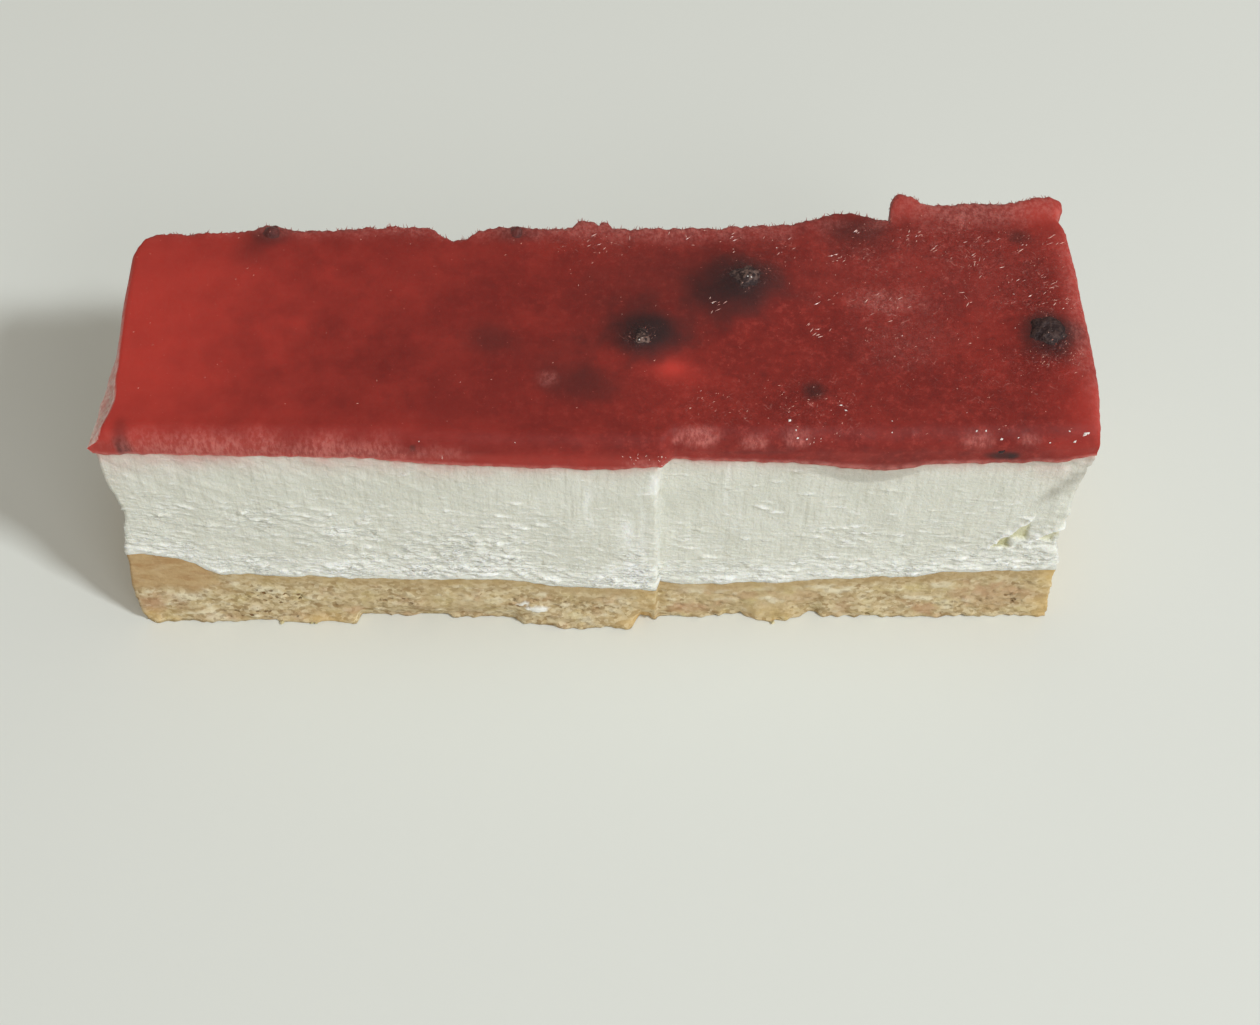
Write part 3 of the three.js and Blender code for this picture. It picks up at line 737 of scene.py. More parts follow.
def jelly_finish():
    made = Finish("jelly", Specular_IOR_Level=0.3, Subsurface_Weight=0.4, Subsurface_Scale=0.002,
                  Subsurface_Radius=(1.0, 0.15, 0.1))
    cloud = made.range(made.noise(10, 4, 0.6), 0.3, 0.7)
    made.body = made.mix(cloud, (124, 33, 27), (143, 42, 34))
    made.paint(made.range(made.noise(3.2, 4, 0.65), 0.45, 0.68, 0.0, 0.45), (112, 28, 24))
    mottle = made.noise(1.3, 5, 0.75)
    coarse = made.noted("coarse")
    made.paint(made.times(made.range(mottle, 0.5, 0.68, 0.0, 0.55), coarse), (168, 62, 53))
    made.paint(made.times(made.range(mottle, 0.48, 0.3, 0.0, 0.45), coarse), (98, 27, 24))
    # Painted glow: brighter red where the jelly looks lit through.
    made.paint(made.noted("glow"), (197, 62, 51))
    halo = made.noted("halo")
    made.paint(made.range(halo, 0.0, 0.6, 0.0, 0.85), (84, 32, 29))
    made.paint(made.range(halo, 0.45, 1.0), (50, 28, 28))
    streak = made.range(made.noise((0.6, 0.8, 1.8), 4, 0.7), 0.38, 0.66)
    made.paint(made.times(made.noted("frost"), made.math("MULTIPLY_ADD", streak, 0.6, 0.2)), (206, 122, 114))
    clump = made.range(made.noise(2.4, 3, 0.6), 0.44, 0.62)
    wrinkle = made.noted("wrinkle")
    # Painted glints: short pale strokes in clumps where the jelly is wrinkled.
    for turn, length in ((-0.8, 1.5), (0.5, 1.0), (-1.9, 1.1)):
        strokes = made.range(made.noise((0.35, length, 0.8), 3, 0.65, 0.8, turn), 0.6, 0.71, 0.0, 0.8)
        made.paint(made.times(strokes, clump, wrinkle), (214, 146, 136))
    made.paint(made.range(made.noise(0.5, 2, 0.5), 0.72, 0.78, 0.0, 0.5), (200, 104, 92))
    rime = made.range(made.noise(0.9, 4, 0.65), 0.35, 0.65)
    made.paint(made.noted("pale"), made.mix(rime, (226, 180, 170), (250, 234, 226)))
    thin = made.range(made.noise(1.4, 3), 0.35, 0.65, 0.3, 0.8)
    made.paint(made.times(made.noted("hem"), thin), (212, 128, 120))
    satin = made.range(made.noise(2.2, 4, 0.6), 0.35, 0.7, 0.6, 0.72)
    made.set(Roughness=made.math("SUBTRACT", satin, made.times(wrinkle, 0.28)))
    crinkle = made.times(made.noise((0.6, 0.9, 0.7), 3, 0.6, 0.6, -0.8), wrinkle)
    return made.done(made.bump(crinkle, 0.6, 0.9, made.bump(made.noise(1.0, 4, 0.6), 0.1, 0.4)))


def berry_finish(name, skin, bloom, grey):
    made = Finish(name, Specular_IOR_Level=0.35)
    made.body = made.mix(made.range(made.noise(1.6, 4, 0.6), 0.4, 0.7), skin, bloom)
    frosted = made.range(made.noise(0.6, 3, 0.6), 0.45, 0.62)
    # Frost and a painted sheen: the crown's wrinkled skin painted lighter, in the given tone.
    made.paint(made.times(made.noted("crown"), frosted), grey)
    made.set(Roughness=made.math("SUBTRACT", 0.5, made.noted("crown", 0.25)))
    return made.done(made.bump(made.noise(0.6, 4, 0.65), 0.4, 0.9))


def crystal_finish():
    made = Finish("frost_crystal", Roughness=0.25, Specular_IOR_Level=0.5)
    made.body = made.mix(made.range(made.noise(1.2), 0.35, 0.65), (184, 88, 74), (240, 184, 166))
    # Painted glint: the listed glints near white, the other slivers a little lighter.
    made.paint(made.noted("bright"), (255, 252, 248))
    return made.done()


def fringe_finish():
    made = Finish("fringe", Roughness=0.6, Specular_IOR_Level=0.3)
    made.body = made.mix(made.noise(1.5), (120, 40, 34), (190, 112, 102))
    return made.done()


def loose_crumb_finish():
    made = Finish("loose_crumb", Roughness=0.85, Specular_IOR_Level=0.25)
    made.body = made.mix(made.range(made.noise(0.8, 3), 0.35, 0.65), (184, 172, 124), (226, 216, 178))
    return made.done(made.bump(made.noise(0.4, 3), 0.2, 0.8))


# Crumb base

def base_piece():
    x, share, rise, quads = cut_layer(BASE_STEPS, BASE_HEIGHT)
    y = mix(front_at(x), back_at(x), share)
    z = rise * (base_top_at(x, y) + BASE_LAP)
    points = lean_ends(x, mix(front_at(x) - foot_out(x, z), back_at(x), share), z)
    mesh = new_mesh("crumb_base_dressed", points, quads)
    normals = mesh_normals(mesh)
    side = fall(np.abs(normals[:, 2]), 0.8, 0.97)
    points = points + normals * (side * base_relief(points))[:, None]
    points[:, 2] = np.maximum(points[:, 2], 0)
    place_points(mesh, points)
    mesh = thinned_mesh(mesh, side < 0.05, COVERED_KEPT)
    points = mesh_points(mesh)
    note(mesh, tone=crumb_tone(points), pit=crumb_pits(points), pitted=ragged_spots(points, PITTED),
         rosy=ragged_spots(points, ROSY_SPOTS), even=0.7 * ragged_spots(points, EVEN_SPOTS),
         cap=heel_cap(points), moist=moist_top(points), toast=toasted_edges(points),
         fleck=cream_fleck(points))
    new_piece("crumb_base_dressed", mesh, crumb_finish(), ["crumb_base"])


def base_relief(points):
    smoother = mix(1.0, 0.3, np.maximum(heel_cap(points), 0.8 * moist_top(points)))
    first, second, _ = grains(points, (1.3, 1.2, 0.9), 12)
    crumb = 0.16 * (smooth(second - first, 0, 0.5) - 0.6) * (0.7 + 0.9 * lumps(points, 6, 64))
    broad = lumpy(points, (0.2, 3.8, 14), (0.12, 1.4, 17))
    ragged = lumpy(points, (0.8, (4.5, 4, 3), 15), (0.45, 1.3, 69)) - 0.15
    ragged = fall(points[:, 2], 0.2, 2.4) * ragged
    relief = smoother * (broad + 0.25 * (crumb_tone(points) - 0.5) + crumb + ragged)
    return relief + 0.3 * cream_fleck(points) - 0.7 * crumb_pits(points)


def ragged_spots(points, spots):
    """Uneven spots on the front cut."""
    x, y, z = points.T
    ragged = 0.5 * lumps(points, 1.2, 65)
    total = 0
    for at_x, at_z, wide, high, strength in spots:
        away = np.hypot((x - at_x) / wide, (z - at_z) / high) + ragged
        total = np.maximum(total, strength * fall(away, 0.5, 1.2))
    return total * fall(y - FRONT, 4, 14)


def crumb_tone(points):
    """How pale the crumb is, from 0 to 1: uneven all over, with some whole pale flakes."""
    streaks = lumpy(points, (0.4, (5, 5, 3), 11), (0.45, (2.2, 2.2, 1.5), 61), (0.4, (1.1, 1.1, 0.8), 62))
    streaks = streaks * (1 - 0.65 * ragged_spots(points, EVEN_SPOTS))
    stray = 0.9 * lumps(points, 1.4, 63)[:, None]
    away, _, own = grains(points + stray, (3.4, 3.0, 1.8), 66)
    flake = fall(away, 0.2, 0.45) * smooth(own, 0.55, 0.8)
    return np.clip(0.42 + streaks + 0.4 * flake + ragged_spots(points, PALE_SPOTS), 0, 1)


def crumb_pits(points):
    """Small holes between the crumbs, in patches half-way up, sunk and painted dark as shade in them."""
    _, y, z = points.T
    hole, _, own = grains(points, (1.2, 1.2, 0.9), 13)
    patch = smooth(lumps(points, 9, 18), 0.1, 0.4) * smooth(z, 0.8, 3) * fall(z, 8, 10.5)
    patch = np.maximum(patch * np.where(y < 0, 0.6, 1), ragged_spots(points, PITTED))
    return fall(hole, 0.14, 0.4) * (own > 0.4) * patch


def heel_cap(points):
    """The smooth moulded crust of the heel at the left end."""
    x, _, z = points.T
    edge = HEEL_EDGE + 2.5 * lumps(points, 5, 16)
    return fall(x, edge - 2, edge + 2) * smooth(z + 1.5 * lumps(points, 3, 19), *CRUST_HEIGHTS)


def moist_top(points):
    """The strip just under the cream, where the crumb is damp and closed."""
    x, y, z = points.T
    below = base_top_at(x, y) - z + 0.9 * lumps(points, (7, 5, 3), 20)
    return fall(below, 1.2, 3.2)


def toasted_edges(points):
    """The golden corners: the right end, the foot of the left end and the lump beside the step."""
    x, y, z = points.T
    low = fall(z, 1, 5)
    foot = fall(x, *TOASTED_LEFT) + sum(much * swelling(x, at, wide) for at, wide, much in TOASTED)
    spots = smooth(x, *TOASTED_RIGHT) + low * foot
    spots = spots + 0.7 * swelling(x, *TOASTED_STEP) * (x < STEP_AT) * (y < 0)
    return np.clip(spots * (0.75 + 0.6 * lumps(points, 2.5, 33)), 0, 1)


def cream_fleck(points):
    """A smear of cream that the knife left on the front of the base."""
    x, y, z = points.T
    away = [np.hypot((x - at) / wide, (z - rise) / high) + shrunk for at, rise, wide, high, shrunk in FLECKS]
    away = np.minimum(*away) + 0.9 * lumps(points, 1.0, 36)
    return fall(away, 0.55, 0.8) * (y < 0)


# Cream filling

def cream_piece():
    x, share, rise, quads = cut_layer(CREAM_STEPS, CREAM_HEIGHT)
    y = mix(front_at(x), back_at(x), share)
    points = lean_ends(x, y, mix(base_top_at(x, y), cream_top_at(x, y), rise))
    points[:, 0] += 0.5 * lumps(points, (4, 4, 2.5), 77) * swelling(x, STEP_AT, 1.6) * (y < 0)
    mesh = new_mesh("cream_filling_dressed", points, quads)
    mesh = thinned_mesh(mesh, np.abs(mesh_normals(mesh)[:, 2]) > 0.9, COVERED_KEPT)
    mesh = thinned_mesh(mesh, mesh_normals(mesh)[:, 1] > 0.6, CREAM_BACK_KEPT)
    points, normals = mesh_points(mesh), mesh_normals(mesh)
    side = fall(np.abs(normals[:, 2]), 0.75, 0.95)
    relief, crest = cream_relief(points, normals)
    depth, torn, rim = torn_facets(points)
    # Painted highlight: the flakes' edges and the rims of the torn facets are kept to be painted near white.
    note(mesh, crest=np.maximum(side * crest * (1 - torn), rim), torn=torn)
    points = points + normals * (side * relief * (1 - torn) - depth + 0.4 * rim)[:, None]
    place_points(mesh, points)
    note(mesh, stain=cream_stain(points), smear=cream_smear(points), flaky=flaky_share(points))
    new_piece("cream_filling_dressed", mesh, cream_finish(), ["cream_filling"])


def torn_facets(points):
    """Flat scars where cream broke away: their depth in millimetres, their area, and their rims, raised and
    given a painted highlight.
    """
    x, y, z = points.T
    ragged = lumpy(points, (0.3, 1.2, 21), (0.15, 0.5, 32))
    depth, area, rim = np.zeros((3, len(points)))
    for corners, yellow in FACETS:
        edges = zip(corners, corners[1:] + corners[:1])
        upper, *others = [past_edge(x, z, *edge) + ragged for edge in edges]
        other = np.maximum(*others)
        inside = fall(np.maximum(upper, other), 0.1, 0.4)
        depth = np.maximum(depth, inside * (0.15 - 0.15 * np.clip(upper, -2, 0)))
        area = np.maximum(area, inside * yellow)
        rim = np.maximum(rim, swelling(upper, 0.7, 0.35) * fall(other, 0.2, 0.8))
    front = fall(y - FRONT, 0.8, 2.4)
    return depth * front, area * front, rim * front


def past_edge(x, z, start, end):
    """How far places lie to the left of a line on the front cut."""
    (at_x, at_z), (to_x, to_z) = start, end
    run, climb = to_x - at_x, to_z - at_z
    return ((z - at_z) * run - (x - at_x) * climb) / math.hypot(run, climb)


def turned(points, angle):
    """Points turned about the bar's depth, for relief that runs at a slant on the front cut."""
    x, y, z = points.T
    level, steep = math.cos(angle), math.sin(angle)
    return np.stack([level * x + steep * z, y, level * z - steep * x], 1)


def random_flakes(seed, start, end, patches, foot):
    """Flakes the knife dragged up: place, height, half length, thickness, slant, bend and lift.

    Many lie near the foot of the cut and in the patches, and few elsewhere.
    """
    draw = np.random.default_rng(seed)
    flakes = []
    for _ in range(round(FLAKES_TRIED * (end - start) / LENGTH)):
        at = draw.uniform(start, end)
        rise = draw.uniform(0, CREAM_HEIGHT)
        height = rise + foot(at)
        chance = 0.012 + 0.28 * fall(rise, 2, 7) + 0.07 * fall(rise, 12, 24)
        size = draw.random() ** 3
        slant = draw.normal(-0.1, 0.2) if rise > 7 else draw.normal(0, 0.08)
        for at_x, at_z, long, high, strength, lean in patches:
            inside = strength * swelling(at, at_x, long) * swelling(height, at_z, high)
            chance += 0.4 * inside
            slant += inside * draw.normal(lean, 0.3)
        long, thick = 0.4 + 2.0 * size, 0.13 + 0.1 * size
        bend, lift = draw.normal(0, 0.25), draw.choice([1, 1, 1, -1]) * (0.12 + 0.26 * size)
        if draw.random() < chance:
            flakes.append((at, height, long, thick, slant, bend, lift))
    return flakes


def flake_relief(points, along, flakes):
    """Raised flakes, each swelling slowly to its top edge and dropping off sharply past it; and a painted
    highlight on those edges.
    """
    over_all = along + 0.35 * lumps(points, 1.2, 38)
    up_all = points[:, 2] + 0.4 * lumps(points, (1.8, 1.8, 1.1), 39) + 0.15 * lumps(points, 0.6, 35)
    broken = np.clip(0.8 + 1.0 * lumps(points, 0.9, 55), 0, 1.5)
    total, crest = np.zeros((2, len(points)))
    for at, height, long, thick, slant, bend, lift in flakes:
        reach = 1.6 * long + 0.5
        near = np.flatnonzero((np.abs(over_all - at) < reach) & (np.abs(up_all - height) < reach))
        over, up = over_all[near] - at, up_all[near] - height
        on = over * math.cos(slant) + up * math.sin(slant)
        past = up * math.cos(slant) - over * math.sin(slant) - bend * on * on / long
        past = past * math.copysign(1, lift)
        fade = swelling(on, 0, 0.65 * long) * broken[near]
        ledge = np.where(past < 0, np.exp(past / (1.6 * thick)), swelling(past, 0, 0.6 * thick))
        total[near] += abs(lift) * ledge * fade
        # Painted highlight along the top edge of each flake that stands out.
        if lift > 0:
            crest[near] = np.maximum(crest[near], fade * swelling(past, 0.2 * thick, 0.6 * thick))
    return np.minimum(total, 0.45 + 0.4 * np.tanh(total - 0.45)), np.clip(crest, 0, 1)


def flaky_share(points):
    """How torn the cut is, from 0 where the knife left it smooth to 1."""
    x, y, z = points.T
    low = z - base_top_at(x, y)
    share = 0.06 + 0.5 * fall(low, 3, 8) + 0.2 * fall(low, 12, 22)
    for at_x, at_z, long, high, strength, _ in FLAKY:
        share = share + 0.6 * strength * swelling(x, at_x, long) * swelling(z, at_z, high) * (y < 0)
    return np.clip(share * (1 + 0.9 * lumps(points, 4, 37)), 0, 1)


def cream_relief(points, normals):
    """The relief of the cream's sides in millimetres, and the painted highlight on its flakes, ridges, drag
    marks and patches.
    """
    x, y, z = points.T
    low = z - base_top_at(x, y)
    flaky = flaky_share(points)
    strayed = points + 0.6 * lumps(points, 1.4, 75)[:, None]
    wave = lumpy(points, (0.2, 9, 22), (0.06, 3.2, 30), (0.05, (1.0, 5, 13), 23), (0.03, (0.5, 3, 8), 24))
    slant = fall(x, *SLANT_FADES) * 0.12 * lumps(turned(points, -0.6), (5, 4, 1.3), 34)
    ridge = ridges(strayed, (3.2, 3.2, 1.0), 76, 2.6)
    grit = flaky * (0.15 * lumps(points, (1.4, 1.4, 0.6), 28) + 0.25 * (ridge - 0.5))
    grit = 0.04 * lumps(points, 0.8, 29) + grit
    dragged = fall(low, 2, 7.5) * (0.75 + 0.6 * lumps(points, 14, 25))
    crest, fine = ridges(points, (5.5, 4, 0.9), 26, 5), ridges(points, (3, 3, 0.55), 27, 4.5)
    drag = dragged * (0.22 * crest + 0.14 * fine)
    flakes, crests = np.zeros((2, len(points)))
    for face, along, made in cream_flakes(points, normals):
        flakes[face], crests[face] = flake_relief(points[face], along[face], made)
    frayed = 0.5 * lumps(points, 1.8, 57) + 0.5 * swelling(z, *FRAY_HEIGHT)
    frayed = smooth(x, *FRAY_FADES) * frayed
    first, second, own = grains(turned(strayed, 0.5), (1.5, 1.5, 0.9), 79)
    crumbs = ragged_spots(points, CRUMBLED) * smooth(second - first, 0.05, 0.4) * mix(0.2, 1.0, own)
    relief = wave + slant + grit + drag + flakes + frayed + 0.4 * crumbs
    lip = 0.1 * fall(low, 0.6, 2.2)
    # Painted highlight: near white on the flakes' edges, the drag marks low on the cut, the ridges, the
    # highlight patches and the crumbs.
    lines = crests + dragged * (0.32 + 0.6 * np.maximum(crest, fine) ** 2)
    pulled = ragged_spots(points, PALE_PATCHES) * (0.8 + 1.6 * lumps(points, (1.2, 5, 5), 78))
    lines = np.clip(lines + 0.5 * flaky * smooth(ridge, 0.6, 0.95) + pulled + 0.6 * crumbs, 0, 1)
    return lip + relief * mix(0.25, 1.0, smooth(low, 0.1, 1.2)), lines


def cream_flakes(points, normals):
    """For each side of the cream: its points, where they lie along it, and its flakes."""
    def foot(x):
        return BASE_HEIGHT + base_top(x)

    x, y, _ = points.T
    end = np.abs(normals[:, 0]) > 0.7
    front = random_flakes(FRONT_SEED, -HALF, HALF, FLAKY, foot) + LARGE_FLAKES
    back = random_flakes(BACK_SEED, -HALF, HALF, [], foot)
    left = random_flakes(LEFT_SEED, FRONT, -FRONT, [], lambda _: foot(-HALF))
    right = random_flakes(RIGHT_SEED, FRONT, -FRONT, [], lambda _: foot(HALF))
    return [(~end & (y < 0), x, front), (~end & (y >= 0), x, back),
            (end & (x < 0), y, left), (end & (x >= 0), y, right)]


def cream_stain(points):
    """Pink from the jelly, strongest under its edge and at the two ends."""
    x, y, z = points.T
    below = cream_top_at(x, y) - z
    ends = smooth(np.abs(x), *STAIN_ENDS)
    left = fall(x, *STAIN_LEFT)
    reach = mix(1.1, 2.4, ends) + 0.4 * left
    patchy = 0.8 + lumpy(points, (0.8, 5, 31), (0.4, 1.5, 40))
    faint = 0.1 * fall(below, 1, 6) * left
    return np.clip((np.exp(-below / reach) * mix(0.95, 0.8, ends) + faint) * patchy, 0, 1)


def cream_smear(points):
    """Grey drag mark slanting near the right end, and two thin bands of painted shade under the jelly's edge.
    """
    x, y, z = points.T
    at_x, at_z = SMEAR_AT
    off = (z - at_z) * math.cos(SMEAR_SLANT) - (x - at_x) * math.sin(SMEAR_SLANT)
    wide = 0.7 + 0.12 * np.clip(x - SMEAR_FROM, 0, 8)
    mark = 0.8 * swelling(off, 0, wide) * smooth(x, SMEAR_FROM, SMEAR_FROM + 3)
    below = cream_top_at(x, y) - z
    lower = 1.8 + 2.0 * swelling(x, *BAND_DIP)
    band = sum(much * swelling(x, at, long, power) for at, long, power, much in BANDS)
    band = band * smooth(below, 0.2, 0.8) * fall(below, lower - 0.6, lower + 0.2)
    return np.clip(mark + 0.7 * band, 0, 1) * (y < 0)


# Berry jelly

def jelly_cells():
    """The cells of the jelly, close together at its rims: stations along, reach from the front, shares up."""
    rims = [share * RIM for share in RIM_SHARES]
    front_rims = [share * FRONT_RIM for share in FRONT_RIM_SHARES]
    middle = [FLAP_FROM + share * FLAP_ROUND for share in FLAP_SHARES]
    ends = [HALF - rim for rim in reversed(rims)]
    along = stations([-HALF + rim for rim in rims] + middle + ends, JELLY_STEP)
    across = stations(front_rims + [DEPTH - rim for rim in reversed(rims)], JELLY_STEP)
    return block(along, across, stations([0, 1], 1 / JELLY_ROWS))


def jelly_piece():
    x, reach, rise, quads = jelly_cells()
    front = front_at(x, JELLY_STEP_AT, JELLY_STEP_WIDTH) - JELLY_PROUD
    y = mix(front, back_at(x) + overhang_at(x), reach / DEPTH)
    top = jelly_top_at(x) - rim_drop(x, reach)
    bottom = cream_top_at(x, np.minimum(y, back_at(x))) - JELLY_LAP
    bottom = bottom + (JELLY_HEIGHT - FLAP_THICKNESS) * smooth(y - back_at(x), 0, FLAP_REACH)
    points = lean_ends(x, y, mix(bottom, top, rise))
    points[:, 0] += flap_bulge(points) - left_lip(x, y, rise)
    mesh = new_mesh("berry_jelly_dressed", points, quads)
    normals = mesh_normals(mesh)
    shown = smooth(normals[:, 2], -0.9, -0.6)
    points = points + normals * (shown * jelly_relief(points, normals))[:, None]
    place_points(mesh, points)
    end_wall = 0.9 * swelling(y - FRONT, 0, LIP_DEPTH + 4) * smooth(-normals[:, 0], 0.45, 0.7)
    tip = 0.75 * smooth(-points[:, 0], HALF + 0.6, HALF + 1.3)
    note(mesh, pale=np.maximum(end_wall, tip), hem=fall(rise, 0.0, 0.4) * smooth(-normals[:, 1], 0.3, 0.7))
    mesh = thinned_mesh(mesh, (shown < 0.05) & (y < back_at(x) - 0.5), JELLY_UNDER_KEPT)
    points = mesh_points(mesh)
    note(mesh, halo=all_spots(points, HALOS, FRONT_HALOS, 2.6), frost=all_spots(points, FROSTS, FRONT_FROSTS),
         glow=all_spots(points, GLOWS, FRONT_GLOWS, 2.0), wrinkle=round_spots(points, WRINKLES, 2.0),
         coarse=mix(0.25, 1.0, smooth(points[:, 0], *COARSE_FADES)))
    return new_piece("berry_jelly_dressed", mesh, jelly_finish(), ["berry_jelly"])


def left_lip(x, y, rise):
    """How far the jelly's end leans out towards the left front corner, most a little above its foot."""
    upper = mix(LIP_OUT, -LIP_IN, (rise - LIP_TIP) / (1 - LIP_TIP))
    lower = mix(LIP_FOOT, LIP_OUT, rise / LIP_TIP)
    lean = np.where(rise > LIP_TIP, upper, lower) * (1 + uneven(x, y, (0.8, 5, 68)))
    return lean * swelling(y - FRONT, 0, LIP_DEPTH, 3) * fall(x, -HALF, -HALF + 2.5)


def flap_bulge(points):
    """How far the jelly swells past the right end: near the front and, after a nick, at the flap."""
    deep = points[:, 1] - FRONT
    swells = sum(out * swelling(deep, at, wide) for at, wide, out in BULGES)
    return swells * smooth(points[:, 0], BULGE_FROM, HALF)


def rim_drop(x, reach):
    """How far the jelly's top falls at its edges: a wide round at the front, a tight one elsewhere."""
    def round_off(near):
        return 1 - np.sqrt(1 - np.clip(near, 0, 1) ** 2)

    ends = np.clip(1 - (HALF - np.abs(x)) / RIM, 0, 1)
    back = np.clip(1 - (DEPTH - reach) / RIM, 0, 1)
    front = round_off(1 - reach / FRONT_RIM)
    deep = FRONT_DROP * mix(0.55, 1.0, smooth(x, -HALF, -HALF + 9))
    return deep * front + RIM * round_off(np.hypot(ends, back)) * (1 - front)


def round_spots(points, spots, edge=3.2):
    """Soft spots on the bar seen from above."""
    return soft_spots(points, points[:, 0], points[:, 1] - FRONT, spots, edge)


def front_spots(points, spots):
    """Soft spots on the front edge of the jelly, seen from the front."""
    near = fall(points[:, 1] - FRONT, 1.2, 2.4)
    return near * soft_spots(points, points[:, 0], points[:, 2], spots, 3.2)


def all_spots(points, above, before, edge=3.2):
    """Soft spots on the jelly's top, together with those on its front edge."""
    return np.maximum(round_spots(points, above, edge), front_spots(points, before))


def soft_spots(points, across, up, spots, edge):
    """Soft-edged ovals, joined without adding up past 1; a larger edge is a crisper one."""
    ragged = 1 + lumpy(points, (0.3, 4, 41), (0.1, 1.3, 50))
    clear = np.ones(len(points))
    for at, rise, wide, high, strength in spots:
        away = np.hypot((across - at) / wide, (up - rise) / high) * ragged
        clear *= 1 - strength * np.exp(-(away ** edge))
    return 1 - clear


def jelly_relief(points, normals):
    x, y, _ = points.T
    top = smooth(normals[:, 2], 0.2, 0.7)
    front = smooth(-normals[:, 1], 0.3, 0.7)
    back = np.maximum(smooth(normals[:, 1], 0.1, 0.6), 0.3 * smooth(normals[:, 0], 0.1, 0.6))
    rise = lumpy(points, (0.1, 7, 42), (0.035, 2.4, 43), (0.012, 1.0, 44))
    wrinkle = 0.1 * lumps(points, 1.3, 49) * round_spots(points, WRINKLES)
    for (at_x, at_y), width, _, proud, _, patch, _ in BERRIES.values():
        if patch:
            away = np.hypot(x - at_x, y - FRONT - at_y)
            rise = rise + (proud + 0.1) * swelling(away, 0, 0.62 * width)
    streak = lumpy(points, (0.08, (2.5, 2, 5), 45), (0.03, (0.8, 2, 2), 46))
    teeth = (0.3 + 0.5 * lumps(points, 6, 54)) * lumps(points, 1.9, 47) + 0.3 * lumps(points, 0.75, 48)
    return top * (rise + wrinkle) + front * streak + back * teeth


# Berries

def unit_ball():
    """The points of a ball in rings from the bottom up, then its bottom and top points."""
    turn = np.linspace(0, 2 * math.pi, BALL_SIDES, endpoint=False)
    climb = np.linspace(-math.pi / 2, math.pi / 2, BALL_ROWS + 2)[1:-1]
    turn, climb = (grid.ravel() for grid in np.meshgrid(turn, climb))
    rings = np.stack([np.cos(turn) * np.cos(climb), np.sin(turn) * np.cos(climb), np.sin(climb)], 1)
    return np.concatenate([rings, [[0, 0, -1], [0, 0, 1]]])


def ball_faces():
    faces = []
    for row in range(BALL_ROWS - 1):
        low, high = row * BALL_SIDES, (row + 1) * BALL_SIDES
        for side in range(BALL_SIDES):
            after = (side + 1) % BALL_SIDES
            faces.append((low + side, low + after, high + after, high + side))
    south, north = BALL_ROWS * BALL_SIDES, BALL_ROWS * BALL_SIDES + 1
    last = (BALL_ROWS - 1) * BALL_SIDES
    faces += [(south, (side + 1) % BALL_SIDES, side) for side in range(BALL_SIDES)]
    faces += [(north, last + side, last + (side + 1) % BALL_SIDES) for side in range(BALL_SIDES)]
    return faces


def cut_berry(points, middle):
    """Keeps a berry behind the jelly's front cut and under its skin."""
    x, y, z = points.T
    cut = front_at(x) - JELLY_PROUD
    cover = 0.4 * smooth(z, middle - 0.5, middle + 0.6) + 0.5 * lumps(points, 1.0, 56)
    y = np.maximum(y, cut + 0.1 + cover)
    skin = jelly_top_at(x) - rim_drop(x, y - cut)
    return np.stack([x, y, np.minimum(z, skin - 0.2)], 1)


def berry_piece(name):
    (at_x, at_y), width, height, proud, patch_at, patch, frosting = BERRIES[name]
    ball = unit_ball()
    middle = np.array([at_x, FRONT + at_y, jelly_top_at(at_x) + proud - height / 2])
    swollen = 1 + 0.05 * lumps(ball + at_x, 0.7, 51)
    points = ball * np.array([width, width, height]) / 2 * swollen[:, None] + middle
    crown = np.zeros(len(points))
    if patch:
        away = np.hypot(points[:, 0] - at_x - patch_at[0], points[:, 1] - FRONT - at_y - patch_at[1])
        crown = swelling(away * (1 + 0.6 * lumps(points, 1.8, 53)), 0, patch) * (ball[:, 2] > 0)
        points[:, 2] += crown * (0.75 + 0.4 * lumps(points, 0.9, 52))
    else:
        points = cut_berry(points, middle[2])
    mesh = bpy.data.meshes.new(name + "_dressed")
    mesh.from_pydata((points * MM).tolist(), [], ball_faces())
    mesh.shade_smooth()
    note(mesh, crown=np.clip(crown * 1.3, 0, 1) * frosting)
    red = name.startswith("currant")
    finish = red_skin if red else veiled_skin if "back" in name else dark_skin
    return new_piece(name + "_dressed", mesh, finish, [name])


# Frost slivers with painted glints, and crumbs

def surface_of(piece):
    bpy.context.view_layer.update()
    return BVHTree.FromObject(piece, bpy.context.evaluated_depsgraph_get())


def first_hit(surfaces, start, way):
    """The nearest place and outward direction that a ray finds on any of the surfaces, in millimetres."""
    found = [surface.ray_cast(Vector(start) * MM, Vector(way)) for surface in surfaces]
    found = [hit for hit in found if hit[0] is not None]
    if not found:
        return None, None
    place, out, _, _ = min(found, key=lambda hit: hit[3])
    return place / MM, out


def level_heading(turn):
    return Vector((math.cos(turn), math.sin(turn), 0))


def sliver(draw, place, out, heading, long, thick):
    """The points of a small irregular eight-sided grain lying on a surface, in millimetres."""
    side = out.cross(heading).normalized()
    heading = side.cross(out)
    ways = [heading, side, -heading, -side]
    reach = [long / 2, thick / 2, long / 2, thick / 2]
    ring = [place + way * far * draw.uniform(0.7, 1.3) for way, far in zip(ways, reach)]
    return ring + [place + out * thick * draw.uniform(0.35, 0.6), place - out * thick * 0.4]


def joined_slivers(name, slivers, finish):
    """One piece from many small grains."""
    points = np.array([tuple(point) for grain in slivers for point in grain])
    starts = SLIVER_POINTS * np.arange(len(slivers))
    mesh = new_mesh(name, points, (np.array(SLIVER_FACES) + starts[:, None, None]).reshape(-1, 3))
    mesh.shade_flat()
    return new_piece(name, mesh, finish, [])


